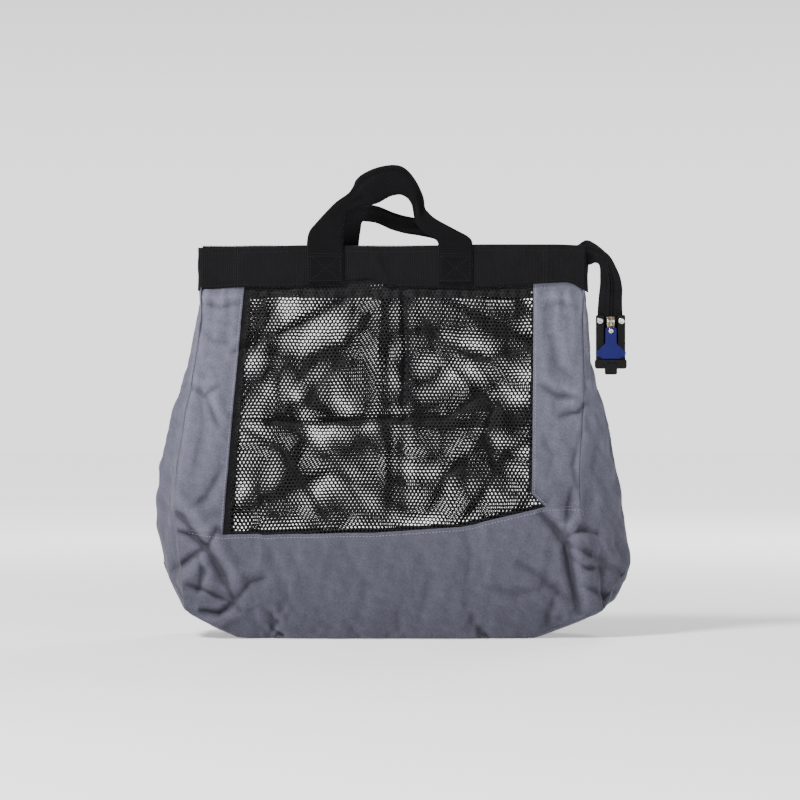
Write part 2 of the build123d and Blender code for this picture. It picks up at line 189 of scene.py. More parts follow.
def grid_faces(rows: int, columns: int, closed: bool = False) -> list[tuple[int, ...]]:
    """Quads of a grid whose vertices are numbered along its rows."""
    pairs = [(c, (c + 1) % columns) for c in range(columns if closed else columns - 1)]
    starts = [(r * columns, (r + 1) * columns) for r in range(rows - 1)]
    return [(low + c, low + d, high + d, high + c) for low, high in starts for c, d in pairs]


def facing_out(obj: Object) -> None:
    """Recalculate a closed mesh's normals so that its faces point outwards."""
    with edited(obj.data) as shape:
        bmesh.ops.recalc_face_normals(shape, faces=shape.faces)


def face_towards(obj: Object, outward: Vector) -> None:
    """Turn a sheet over if its faces look away from outward."""
    facing = sum((face.normal * face.area for face in obj.data.polygons), Vector())
    if facing.dot(outward) < 0:
        obj.data.flip_normals()


def made_plain(obj: Object) -> Object:
    """Turn an object's evaluated shape into its own mesh and remove its modifiers."""
    bpy.context.view_layer.update()
    shape = obj.evaluated_get(bpy.context.evaluated_depsgraph_get())
    mesh = bpy.data.meshes.new_from_object(shape)
    mesh.name = obj.name
    obj.modifiers.clear()
    obj.data = mesh
    return obj


def thickened(obj: Object, thickness: float) -> Object:
    """Give a surface its cloth thickness behind its outer face."""
    solid = obj.modifiers.new("thickness", "SOLIDIFY")
    solid.thickness, solid.offset, solid.use_even_offset = thickness, -1.0, False
    return made_plain(obj)


def bevelled(obj: Object, width: float, segments: int, angle: float) -> Object:
    """Round an object's edges that are sharper than an angle in degrees."""
    bevel = obj.modifiers.new("edges", "BEVEL")
    bevel.width, bevel.segments, bevel.harden_normals = width, segments, True
    bevel.limit_method, bevel.angle_limit = "ANGLE", math.radians(angle)
    return made_plain(obj)


def finished(obj: Object, material: Material, slot: str, nodes: Sequence[str] = (), body: str = "") -> Object:
    """Dress a piece in one material and say what it stands for and rides on.

    Args:
        obj: the piece.
        material: its finish.
        slot: the record's slot.
        nodes: the CAD nodes that it replaces.
        body: the body that it rides on, or nothing if it is set later.

    Returns:
        The piece.
    """
    obj.data.materials.clear()
    obj.data.materials.append(material)
    obj.data.polygons.foreach_set("material_index", np.zeros(len(obj.data.polygons), np.int32))
    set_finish(obj, slot)
    if nodes:
        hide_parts(*nodes)
    if body:
        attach(obj, body)
    return obj


def halves(obj: Object) -> dict[Half, Object]:
    """Cut a piece in two at X = 0 along its face edges.

    Args:
        obj: the whole piece, which is removed.

    Returns:
        The two pieces by half.
    """
    result = {}
    for half in Half:
        mesh = obj.data.copy()
        mesh.name = f"{obj.name}_{half.name.lower()}"
        with edited(mesh) as shape:
            away = [f for f in shape.faces if f.calc_center_median().x * half.value <= 0]
            bmesh.ops.delete(shape, geom=away, context="FACES")
            rim = [e for e in shape.edges if e.is_boundary]
            filled = bmesh.ops.holes_fill(shape, edges=rim, sides=0)["faces"]
            for edge in rim:
                edge.smooth = False
            bmesh.ops.triangulate(shape, faces=filled)
            bmesh.ops.recalc_face_normals(shape, faces=shape.faces)
        result[half] = linked(mesh.name, mesh)
    bpy.data.objects.remove(obj)
    return result


def smooth_sample(grid: Points, row: Points, column: Points) -> Points:
    """Read a grid of points between its rows and columns with Catmull-Rom weights.

    Args:
        grid: points, rows by columns by 3.
        row: fractional row numbers.
        column: fractional column numbers.

    Returns:
        One point for each row and column number.
    """
    rows, columns = grid.shape[:2]
    first_row = np.clip(np.floor(row).astype(int), 0, rows - 2)
    first_column = np.clip(np.floor(column).astype(int), 0, columns - 2)

    def weights(t: Points) -> list[Points]:
        """The weights of the four neighbours at a share t of the way."""
        return [
            -0.5 * t**3 + t**2 - 0.5 * t,
            1.5 * t**3 - 2.5 * t**2 + 1,
            -1.5 * t**3 + 2 * t**2 + 0.5 * t,
            0.5 * t**3 - 0.5 * t**2,
        ]

    across, along = weights(column - first_column), weights(row - first_row)
    total = np.zeros(row.shape + (3,))
    for i in range(4):
        r = np.clip(first_row + i - 1, 0, rows - 1)
        for j in range(4):
            c = np.clip(first_column + j - 1, 0, columns - 1)
            total += (along[i] * across[j])[..., None] * grid[r, c]
    return total


def ripple(x: Points, z: Points, wavelength: float, seed: int, waves: int = 7) -> Points:
    """A smooth uneven relief between about -1 and 1, the same in every run.

    Args:
        x: places one way.
        z: places the other way.
        wavelength: its mean wavelength in metres.
        seed: which relief.
        waves: how many waves are added up.

    Returns:
        The relief at each place.
    """
    random = np.random.RandomState(seed)
    total = np.zeros(np.broadcast(x, z).shape)
    for _ in range(waves):
        turn, phase, stretch = random.uniform(0, math.tau), random.uniform(0, math.tau), random.uniform(0.7, 1.5)
        pace = math.tau / (wavelength * stretch)
        total += np.sin((x * math.cos(turn) + z * math.sin(turn)) * pace + phase)
    return total / math.sqrt(waves)


def crease(distance: Points, depth: float, width: float) -> Points:
    """The relief of one fold line at a distance from it."""
    return depth * np.exp(-np.abs(distance) / width)


@dataclass(frozen=True)
class Fold:
    """One fold in the cloth along a bent line: a valley with a ridge beside it. Sizes in millimetres."""

    depth: float
    width: float
    line: Sequence[float]
    ridge: float = 0.65

    def relief(self, x: Points, z: Points) -> Points:
        """How far the cloth stands out at (x, z) because of this fold, in metres."""
        corners = np.array(self.line, float).reshape(-1, 2) * MM
        steps = np.linalg.norm(np.diff(corners, axis=0), axis=1)
        nearest = np.full(x.shape, 1.0)
        signed, along = np.zeros(x.shape), np.zeros(x.shape)
        run = 0.0
        for (ax, az), (bx, bz), size in zip(corners, corners[1:], steps):
            ux, uz = (bx - ax) / size, (bz - az) / size
            t = np.clip((x - ax) * ux + (z - az) * uz, 0, size)
            dx, dz = x - ax - t * ux, z - az - t * uz
            distance = np.hypot(dx, dz)
            near = distance < nearest
            nearest = np.where(near, distance, nearest)
            signed = np.where(near, np.copysign(distance, ux * dz - uz * dx), signed)
            along = np.where(near, (run + t) / steps.sum(), along)
            run += size
        across = signed / (self.width * MM)
        taper = np.sqrt(np.clip(np.sin(math.pi * along), 0, 1))
        profile = self.ridge * np.exp(-(((across - 2.4) / 1.7) ** 2)) - np.exp(-(np.abs(across) ** 1.5))
        return self.depth * MM * taper * profile


def folds(*rows: Sequence[float]) -> list[Fold]:
    """Folds from rows of depth, width, and then x and z of each corner of the line, in millimetres."""
    return [Fold(depth, width, line) for depth, width, *line in rows]


CORNER_FOLDS = folds(
    (7.5, 6, -284, 172, -250, 142, -222, 108, -200, 72, -180, 30), (5.5, 5, -222, 108, -246, 90, -272, 68),
    (4.5, 4, -268, 130, -242, 122, -222, 108), (5, 4, -186, 42, -206, 30, -230, 34),
    (3, 6, -188, 44, -170, 66, -146, 74), (2.5, 4, -222, 108, -208, 128, -196, 120),
    (3, 6, -270, 150, -266, 200, -256, 256), (4, 4.5, -246, 66, -214, 54, -188, 40),
    (3, 4, -232, 100, -224, 78, -232, 52), (1.4, 8, -132, 122, -112, 80, -102, 34),
    (7.5, 6, 172, 151, 190, 132, 204, 112, 211, 75, 221, 26), (5.5, 6, 204, 112, 238, 98, 288, 70),
    (4.5, 4.5, 203, 118, 222, 130, 240, 124, 252, 104), (3.5, 5, 212, 180, 208, 150, 202, 122),
    (3, 6, 240, 140, 234, 190, 240, 236), (3, 8, 144, 92, 175, 72, 214, 40),
    (3.5, 5, 222, 64, 250, 52, 274, 56), (3, 4, 206, 100, 228, 84, 256, 82), (1.4, 7, 84, 128, 92, 100, 84, 56),
)
FLANK_FOLDS = folds(
    (1.4, 4, -234, 399, -206, 392, -178, 399), (2.6, 5, -250, 302, -224, 288, -204, 300),
    (2.2, 4, -224, 290, -214, 264, -206, 246), (1.8, 7, -232, 336, -226, 250, -240, 186),
    (2.2, 5, -200, 206, -222, 166, -244, 152), (1.4, 5, -236, 372, -214, 352, -190, 350),
    (3, 5, 172, 302, 196, 286, 226, 284), (3, 5, 196, 262, 220, 268, 240, 292),
    (1.1, 5, 176, 390, 200, 398, 228, 390), (1.4, 6, 188, 362, 196, 322, 222, 300),
    (2.6, 5, 224, 246, 214, 204, 222, 162), (1.6, 6, 176, 240, 190, 216, 182, 186),
    (1.3, 9, -62, 116, -32, 62, -42, 12), (1.3, 8, 20, 116, 42, 70, 30, 16), (1.8, 7, 104, 62, 146, 52, 186, 62),
)
NET_FOLDS = folds(
    (8, 5, -196, 336, -120, 372, -36, 414), (8, 4.5, -206, 262, -110, 256, -20, 262, 64, 258),
    (6.5, 5, -196, 258, -132, 226, -96, 170, -68, 128), (9, 4.5, 12, 418, 16, 340, 12, 256),
    (4.5, 5, 12, 264, 8, 200, 14, 130), (6.5, 5, 14, 404, 60, 352, 110, 332, 170, 348),
    (6.5, 6, 56, 256, 100, 286, 156, 258), (6.5, 5, 96, 336, 128, 292, 110, 240, 132, 172),
    (5.5, 5, -136, 418, -150, 370, -184, 326), (4.5, 6, 26, 178, 80, 202, 160, 166),
    (4.5, 6, -56, 336, -90, 300, -104, 258), (4.5, 6, -124, 252, -62, 202, -30, 146),
    (4, 5, -170, 196, -150, 160, -120, 132), (4.5, 7, 150, 196, 170, 172, 194, 148),
)


# ---------------------------------------------------------------- finishes


def start_material(name: str) -> tuple[Material, Tree, Socket]:
    """Start a material: gives it, its tree and its Object coordinates."""
    mat = bpy.data.materials.new(name)
    mat.use_nodes = True
    return mat, mat.node_tree, add_node(mat.node_tree, "ShaderNodeTexCoord", out="Object")


def close_material(mat: Material, colour: Socket, relief: Sequence[tuple], inputs: dict) -> Material:
    """Join a colour and relief to a material's shader.

    Args:
        mat: the material.
        colour: the colour's output.
        relief: height, strength and distance of each bump, laid one on the other.
        inputs: the shader's other inputs.

    Returns:
        The material.
    """
    shader = mat.node_tree.nodes["Principled BSDF"]
    normal = {}
    for height, strength, distance in relief:
        bump = {"Height": height, "Strength": strength, "Distance": distance}
        normal = {"Normal": add_node(mat.node_tree, "ShaderNodeBump", bump | normal)}
    wire(shader, {"Base Color": colour} | inputs | normal)
    return mat


@dataclass(frozen=True)
class Cotton:
    """Plain-woven grey cotton, piece-dyed and matt, a little mottled, with painted shade in its creases, painted
    highlight on its ridges and painted shade darkening it towards the bottom.
    """

    light: str = "#686878"
    dark: str = "#5d5d6b"
    thread: float = 0.9 * MM
    # Height up to which painted shade darkens the cotton towards the bottom.
    foot_height: float = 0.30

    def material(self) -> Material:
        """Build the material: weave bump, dye mottle, slubs, painted crease shade and ridge highlight, painted shade
        towards the bottom, and a soft sheen.
        """
        mat, tree, place = start_material("grey_woven_cotton")
        mottle = {"Vector": place, "Scale": 14.0, "Detail": 6.0, "Roughness": 0.6}
        dye = [(0.2, linear(self.dark)), (0.85, linear(self.light))]
        colour = add_node(tree, "ShaderNodeValToRGB", {"Fac": add_node(tree, "ShaderNodeTexNoise", mottle)}, stops=dye)
        slub = add_node(tree, "ShaderNodeTexNoise", {"Vector": place, "Scale": 480.0, "Detail": 3.0})
        slub_tones = [(0.3, (0.62, 0.62, 0.64, 1)), (0.7, (1, 1, 1, 1))]
        uneven = add_node(tree, "ShaderNodeValToRGB", {"Fac": slub}, stops=slub_tones)
        # Painted shade and painted highlight: the hollow measure darkens the colour in creases, where shade falls, and
        # lightens it on ridges.
        hollow = add_node(tree, "ShaderNodeAttribute", out="Fac", attribute_name="hollow")
        crease_shade_range = {"Value": hollow, "From Min": -1.0, "From Max": 1.0, "To Min": 0.62, "To Max": 1.32}
        painted_crease_shade = add_node(tree, "ShaderNodeMapRange", crease_shade_range)
        # Painted shade: the colour darkens towards the bottom, below foot_height, standing in for the foot getting
        # less light.
        height = add_node(tree, "ShaderNodeSeparateXYZ", {0: place}, "Z")
        low = add_node(tree, "ShaderNodeMapRange", {"Value": height, "From Min": 0.0, "From Max": self.foot_height})
        foot_tones = [(0.0, (0.49, 0.485, 0.49, 1)), (1.0, (1, 1, 1, 1))]
        shade = add_node(tree, "ShaderNodeValToRGB", {"Fac": low}, stops=foot_tones)
        for factor, tint in ((0.8, uneven), (1.0, painted_crease_shade), (1.0, shade)):
            layers = {"Factor": factor, 6: colour, 7: tint}
            colour = add_node(tree, "ShaderNodeMix", layers, 2, data_type="RGBA", blend_type="MULTIPLY")
        uv = add_node(tree, "ShaderNodeUVMap", uv_map="cloth")
        threads = {"Vector": uv, "Scale": 1 / self.thread / 20 * math.pi, "Distortion": 0.6}
        warp, weft = (add_node(tree, "ShaderNodeTexWave", threads, "Fac", bands_direction=way) for way in "XY")
        weave = add_node(tree, "ShaderNodeMath", {0: warp, 1: weft}, operation="ADD")
        nap = add_node(tree, "ShaderNodeTexNoise", {"Vector": place, "Scale": 160.0, "Detail": 5.0})
        creased = {"Vector": place, "Scale": 19.0, "Detail": 4.0, "Roughness": 0.55, "Distortion": 0.7}
        crumple = add_node(tree, "ShaderNodeTexNoise", creased, noise_type="RIDGED_MULTIFRACTAL")
        relief = [(weave, 0.25, 0.12 * MM), (crumple, 0.75, 2.0 * MM), (nap, 0.45, 0.9 * MM)]
        gloss = {"Roughness": 0.92, "Specular IOR Level": 0.25, "Sheen Weight": 0.08, "Sheen Roughness": 0.5}
        return close_material(mat, colour, relief, gloss)


@dataclass(frozen=True)
class Ribbed:
    """Black woven tape or webbing: fine ribs across or along it, matt with grey lint on the ribs."""

    name: str
    colour: str
    lint: str
    rib: float
    depth: float = 0.25 * MM
    roughness: float = 0.85

    def material(self) -> Material:
        """Build the material from the ribbon's own UV map, in metres."""
        mat, tree, place = start_material(self.name)
        uv = add_node(tree, "ShaderNodeUVMap", uv_map="cloth")
        rows = {"Vector": uv, "Scale": math.pi / 20 / self.rib, "Distortion": 0.8, "Detail": 2.0}
        ribs = add_node(tree, "ShaderNodeTexWave", rows, "Fac", bands_direction="Y")
        fluff = {"Vector": place, "Scale": 55.0, "Detail": 8.0, "Roughness": 0.7}
        lint = add_node(tree, "ShaderNodeTexNoise", fluff)
        dusty = add_node(tree, "ShaderNodeMath", {0: ribs, 1: lint}, operation="MULTIPLY")
        tones = [(0.1, linear(self.colour)), (0.75, linear(self.lint))]
        tone = add_node(tree, "ShaderNodeValToRGB", {"Fac": dusty}, stops=tones)
        fibre = add_node(tree, "ShaderNodeTexNoise", {"Vector": place, "Scale": 1400.0, "Detail": 1.0})
        gloss = {"Roughness": self.roughness, "Specular IOR Level": 0.08, "Sheen Weight": 0.03}
        return close_material(mat, tone, [(ribs, 0.8, self.depth), (fibre, 0.3, 0.15 * MM)], gloss)


@dataclass(frozen=True)
class Yarn:
    """Spun or knitted polyester yarn, with a faint twist and a low sheen."""

    name: str
    colour: str
    high: str
    roughness: float = 0.7
    grain: float = 0.6 * MM

    def material(self) -> Material:
        """Build the material: two tones of dye and a fine bump."""
        mat, tree, place = start_material(self.name)
        fibre = add_node(tree, "ShaderNodeTexNoise", {"Vector": place, "Scale": 1 / self.grain, "Detail": 3.0})
        tones = [(0.35, linear(self.colour)), (0.7, linear(self.high))]
        tone = add_node(tree, "ShaderNodeValToRGB", {"Fac": fibre}, stops=tones)
        gloss = {"Roughness": self.roughness, "Specular IOR Level": 0.2}
        return close_material(mat, tone, [(fibre, 0.6, 0.2 * MM)], gloss)


@dataclass(frozen=True)
class Moulded:
    """Injection-moulded plastic: a fine spark-eroded grain and handling marks in its gloss."""

    name: str
    colour: str
    worn: str
    roughness: float
    shine: float = 0.3
    grain: float = 0.5 * MM

    def material(self) -> Material:
        """Build the material: colour drift, uneven gloss and grain."""
        mat, tree, place = start_material(self.name)
        marks = {"Vector": place, "Scale": 90.0, "Detail": 6.0, "Roughness": 0.65}
        drift = add_node(tree, "ShaderNodeTexNoise", marks)
        tones = [(0.4, linear(self.colour)), (0.8, linear(self.worn))]
        tone = add_node(tree, "ShaderNodeValToRGB", {"Fac": drift}, stops=tones)
        handled = {"Value": drift, "To Min": self.roughness - 0.08, "To Max": self.roughness + 0.15}
        gloss = add_node(tree, "ShaderNodeMapRange", handled)
        grain = add_node(tree, "ShaderNodeTexNoise", {"Vector": place, "Scale": 1 / self.grain, "Detail": 2.0})
        inputs = {"Roughness": gloss, "IOR": 1.5, "Specular IOR Level": self.shine}
        return close_material(mat, tone, [(grain, 0.25, 0.05 * MM)], inputs)


@dataclass(frozen=True)
class Metal:
    """Plated or cast metal: tumbled smooth, with fine scratches and dulled patches."""

    name: str
    colour: str
    dull: str
    roughness: float

    def material(self) -> Material:
        """Build the material: tarnish in the colour, scratches in the gloss."""
        mat, tree, place = start_material(self.name)
        tarnish = add_node(tree, "ShaderNodeTexNoise", {"Vector": place, "Scale": 260.0, "Detail": 5.0})
        tones = [(0.35, linear(self.dull)), (0.62, linear(self.colour))]
        tone = add_node(tree, "ShaderNodeValToRGB", {"Fac": tarnish}, stops=tones)
        scratch = add_node(tree, "ShaderNodeTexNoise", {"Vector": place, "Scale": 1500.0, "Detail": 3.0})
        marks = {"Value": scratch, "To Min": self.roughness - 0.06, "To Max": self.roughness + 0.2}
        gloss = add_node(tree, "ShaderNodeMapRange", marks)
        return close_material(mat, tone, [], {"Roughness": gloss, "Metallic": 1.0})


class Finishes:
    """Every material of the bag, built once."""

    def __init__(self) -> None:
        """Build them from cloth to metal."""
        fine = 0.12 * MM
        self.cotton = Cotton().material()
        self.webbing = Ribbed("black_ribbed_webbing", "#0c0b0d", "#1e1d1f", 1.1 * MM).material()
        self.handle = Ribbed("black_handle_webbing", "#080709", "#131214", 1.4 * MM, fine).material()
        self.zip_tape = Ribbed("black_zip_tape", "#0d0c0e", "#1e1d1f", 0.8 * MM, fine).material()
        self.netting = Yarn("black_knitted_netting", "#080709", "#141316").material()
        self.grey_thread = Yarn("grey_sewing_thread", "#83818f", "#9c9aa8", 0.7, 0.3 * MM).material()
        self.black_thread = Yarn("black_sewing_thread", "#111012", "#262528", 0.6, 0.3 * MM).material()
        self.coil = Moulded("black_nylon_coil", "#0b0a0c", "#1a191b", 0.4).material()
        self.lock = Moulded("black_moulded_abs", "#060507", "#0f0e10", 0.3, 0.14).material()
        self.blue = Moulded("blue_moulded_acetal", "#0f104f", "#151759", 0.38, 0.16).material()
        self.nickel = Metal("nickel_plated_steel", "#dcdcda", "#b4b4b2", 0.18).material()
        self.spring = Metal("blackened_spring_steel", "#4a4846", "#232221", 0.35).material()
        self.brass = Metal("antique_brass", "#a89d80", "#4c4436", 0.3).material()


# ---------------------------------------------------------------- the bag's shape


@dataclass
class BagShape:
    """The bag's outline, read from the frame: lengths in metres."""

    wall_top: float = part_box("front_band")[0].z
    band_top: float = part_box("front_band")[1].z
    band_end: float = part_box("front_band")[1].x
    band_face: float = -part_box("front_band")[0].y
    flat_half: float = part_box("base_panel")[1].x
    seam_low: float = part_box("front_lower_panel")[1].x
    foot_depth: float = -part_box("front_lower_panel")[0].y
    ridge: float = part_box("right_gusset")[1].x
    corner: float = 42 * MM
    ridge_foot: float = 96 * MM
    wall_inset: float = 0.6 * MM
    seam_heights: tuple = (42, 100, 140, 174, 212, 270, 302, 335, 378, 418)
    seam_left: tuple = (249, 255, 259, 262, 258, 250, 241, 236, 228, 229)
    seam_right: tuple = (249, 238, 226, 221, 221, 226, 228, 228, 227, 229)
    ridge_heights: tuple = (96, 114, 140, 162, 186, 234, 258, 282, 296, 306, 330, 378, 418)
    ridge_left: tuple = (279, 282, 286, 288, 286, 278, 271, 263, 257, 253, 245, 234, 231)
    ridge_right: tuple = (287, 285, 281, 277, 273, 263, 258, 251, 244, 240, 236, 233, 231)
    flat_right: float = 120 * MM

    def up(self, low: Points, share: Points) -> Points:
        """Height at a share of the way from low to the wall's top."""
        return low + share * (self.wall_top - low)

    def seam_x(self, z: Points, x: Points, side: Side) -> Points:
        """Half width out to a side seam.

        Args:
            z: height.
            x: only its sign counts: which of the two side seams.
            side: the wall.

        Returns:
            The distance from the middle.
        """
        z = np.asarray(z, float)
        left = np.interp(z / MM, self.seam_heights, self.seam_left) * MM
        right = np.interp(z / MM, self.seam_heights, self.seam_right) * MM
        level = (left + right) / 2
        front = np.where(np.asarray(x) > 0, right, left)
        return front if side is Side.FRONT else level + 0 * front

    def seam_valley(self, distance: Points, z: Points) -> Points:
        """Depth of the groove that a side seam pulls, at a distance from it; none near the foot."""
        return 2.0 * MM * np.exp(-((distance / (2.8 * MM)) ** 2)) * np.clip((z - 0.12) / 0.04, 0, 1)

    def foot_z(self, x: Points) -> Points:
        """Height of the walls' lower edge at x: flat, then turned up to the corners."""
        flat = np.where(np.asarray(x) > 0, self.flat_right, self.flat_half)
        share = np.clip((np.abs(x) - flat) / (self.seam_low - flat), 0, 1.3)
        return self.corner * share**1.4

    def wall_y(self, z: Points) -> Points:
        """Distance of a wall's outer face from the middle at height z."""
        share = np.clip(z / self.wall_top, 0, 1)
        face = self.foot_depth + (self.band_face - self.foot_depth) * share
        return face - self.wall_inset

    def ridge_x(self, z: Points, hand: Half) -> Points:
        """Half width over a gusset's ridge at height z."""
        table = self.ridge_right if hand is Half.RIGHT else self.ridge_left
        return np.interp(np.asarray(z) / MM, self.ridge_heights, table) * MM


SHAPE = BagShape()


@dataclass
class ClothShell:
    """The whole cloth bag as one closed shell, settled once, that every cloth piece is cut from."""

    columns: int = 73
    rows: int = 53
    gusset_columns: int = 17
    cap_columns: int = 8
    slack: float = -0.028
    frames: int = 22
    limit: float = 11 * MM
    grids: dict[str, Points] = field(default_factory=dict)
    fabric = {
        "quality": 6, "mass": 0.15, "tension_stiffness": 18, "compression_stiffness": 10, "shear_stiffness": 4,
        "bending_stiffness": 0.12, "use_pressure": True, "uniform_pressure_force": 2.6, "vertex_group_mass": "held",
    }

    def rest_wall(self, side: Side) -> Points:
        """Rest positions of a wall, rows going up."""
        u = np.linspace(-1, 1, self.columns)[None, :]
        v = np.linspace(0, 1, self.rows)[:, None]
        foot = SHAPE.foot_z(u * SHAPE.seam_low)
        z, seam_z = SHAPE.up(foot, v), SHAPE.up(SHAPE.corner, v)
        x = u * SHAPE.seam_x(seam_z, u, side)
        return np.stack([x, side.value * SHAPE.wall_y(z), z + 0 * x], -1)

    def rest_gusset(self, hand: Half) -> Points:
        """Rest positions of a gusset, from the front seam over the ridge to the rear seam."""
        w = np.linspace(-1, 1, self.gusset_columns)[None, :]
        v = np.linspace(0, 1, self.rows)[:, None]
        seam_z, ridge_z = SHAPE.up(SHAPE.corner, v), SHAPE.up(SHAPE.ridge_foot, v)
        swell = 1 - np.abs(w) ** 1.45
        z = seam_z + (ridge_z - seam_z) * swell
        front, rear = (SHAPE.seam_x(seam_z, hand.value, side) for side in Side)
        seam = front + (rear - front) * (w + 1) / 2
        x = seam + (SHAPE.ridge_x(ridge_z, hand) - seam) * swell
        y = w * SHAPE.wall_y(seam_z)
        return np.stack([hand.value * x, y, z], -1)

    def rest_base(self) -> Points:
        """Rest positions of the base, rows going from front to rear."""
        u = np.linspace(-1, 1, self.columns)[None, :]
        w = np.linspace(-1, 1, self.gusset_columns)[:, None]
        x = u * SHAPE.seam_low
        z = SHAPE.foot_z(x)
        return np.stack([x + 0 * w, w * SHAPE.wall_y(z), z + 0 * w], -1)

    def rest_cap(self, hand: Half) -> Points:
        """Rest positions of a base corner, from the base's end out to the gusset's foot."""
        t = np.linspace(0, 1, self.cap_columns)[None, :, None]
        base_end = self.rest_base()[:, -1 if hand is Half.RIGHT else 0][:, None, :]
        foot = self.rest_gusset(hand)[0][:, None, :]
        bulge = (10 * MM if hand is Half.RIGHT else 4 * MM) * np.sin(math.pi * t)
        depth = 1 - np.linspace(-1, 1, self.gusset_columns)[:, None, None] ** 2
        return base_end + (foot - base_end) * t + bulge * depth * np.array([hand.value * 0.75, 0, -0.5])

    def settle(self) -> None:
        """Let the shell fill and wrinkle as cloth, and keep every grid's settled points."""
        rest = {"front": self.rest_wall(Side.FRONT), "rear": self.rest_wall(Side.REAR), "base": self.rest_base()}
        for hand in Half:
            rest[f"{hand.name.lower()}_gusset"] = self.rest_gusset(hand)
            rest[f"{hand.name.lower()}_cap"] = self.rest_cap(hand)
        everything = np.concatenate([g.reshape(-1, 3) for g in rest.values()])
        keys = np.round(everything / (0.05 * MM)).astype(int)
        _, first, number = np.unique(keys, axis=0, return_index=True, return_inverse=True)
        number = number.ravel()
        points = everything[first]
        numbers, start = {}, 0
        for name, grid in rest.items():
            count = grid.shape[0] * grid.shape[1]
            numbers[name] = number[start : start + count].reshape(grid.shape[:2])
            start += count
        settled = points.copy()
        settled = self._simulate(points, numbers)
        move = settled - points
        length = np.linalg.norm(move, axis=1, keepdims=True)
        move *= self.limit * np.tanh(length / self.limit) / np.maximum(length, 1e-9)
        settled = points + move
        settled[:, 2] = np.maximum(settled[:, 2], 0.4 * MM)
        self.grids = {name: settled[index] for name, index in numbers.items()}
        log.info("cloth shell: %d points, largest move %.1f mm", len(points), length.max() / MM)

    def _simulate(self, points: Points, numbers: dict[str, Points]) -> Points:
        """Run the cloth simulation on the welded shell.

        Args:
            points: rest positions.
            numbers: each grid's point numbers.

        Returns:
            The settled positions.
        """
        faces = []
        for index in numbers.values():
            for quad in grid_faces(*index.shape):
                corners = list(dict.fromkeys(index.ravel()[list(quad)].tolist()))
                if len(corners) > 2:
                    faces.append(corners)
        front, rear = numbers["front"][-1], numbers["rear"][-1]
        faces += [[front[i], front[i + 1], rear[i + 1], rear[i]] for i in range(self.columns - 1)]
        ends = [hand.name.lower() for hand in Half]
        faces += [numbers[f"{end}_gusset"][-1].tolist() for end in ends]
        obj = mesh_object("cloth_shell", points, faces)
        facing_out(obj)
        rests = numbers["base"][3:-3, self.columns // 4 : -self.columns // 4]
        held = set(np.concatenate([rests.ravel(), front, rear, *(numbers[f"{g}_gusset"][-1] for g in ends)]).tolist())
        pin = obj.vertex_groups.new(name="held")
        pin.add([int(i) for i in held], 1.0, "REPLACE")
        cloth = obj.modifiers.new("cloth", "CLOTH")
        cloth.settings.effector_weights.gravity = 0.35
        for name, value in (self.fabric | {"shrink_min": self.slack}).items():
            setattr(cloth.settings, name, value)
        for number in range(1, self.frames + 1):
            bpy.context.scene.frame_set(number)
        shape = obj.evaluated_get(bpy.context.evaluated_depsgraph_get())
        settled = np.array([v.co for v in shape.data.vertices])
        bpy.data.objects.remove(obj)
        bpy.context.scene.frame_set(1)
        return settled


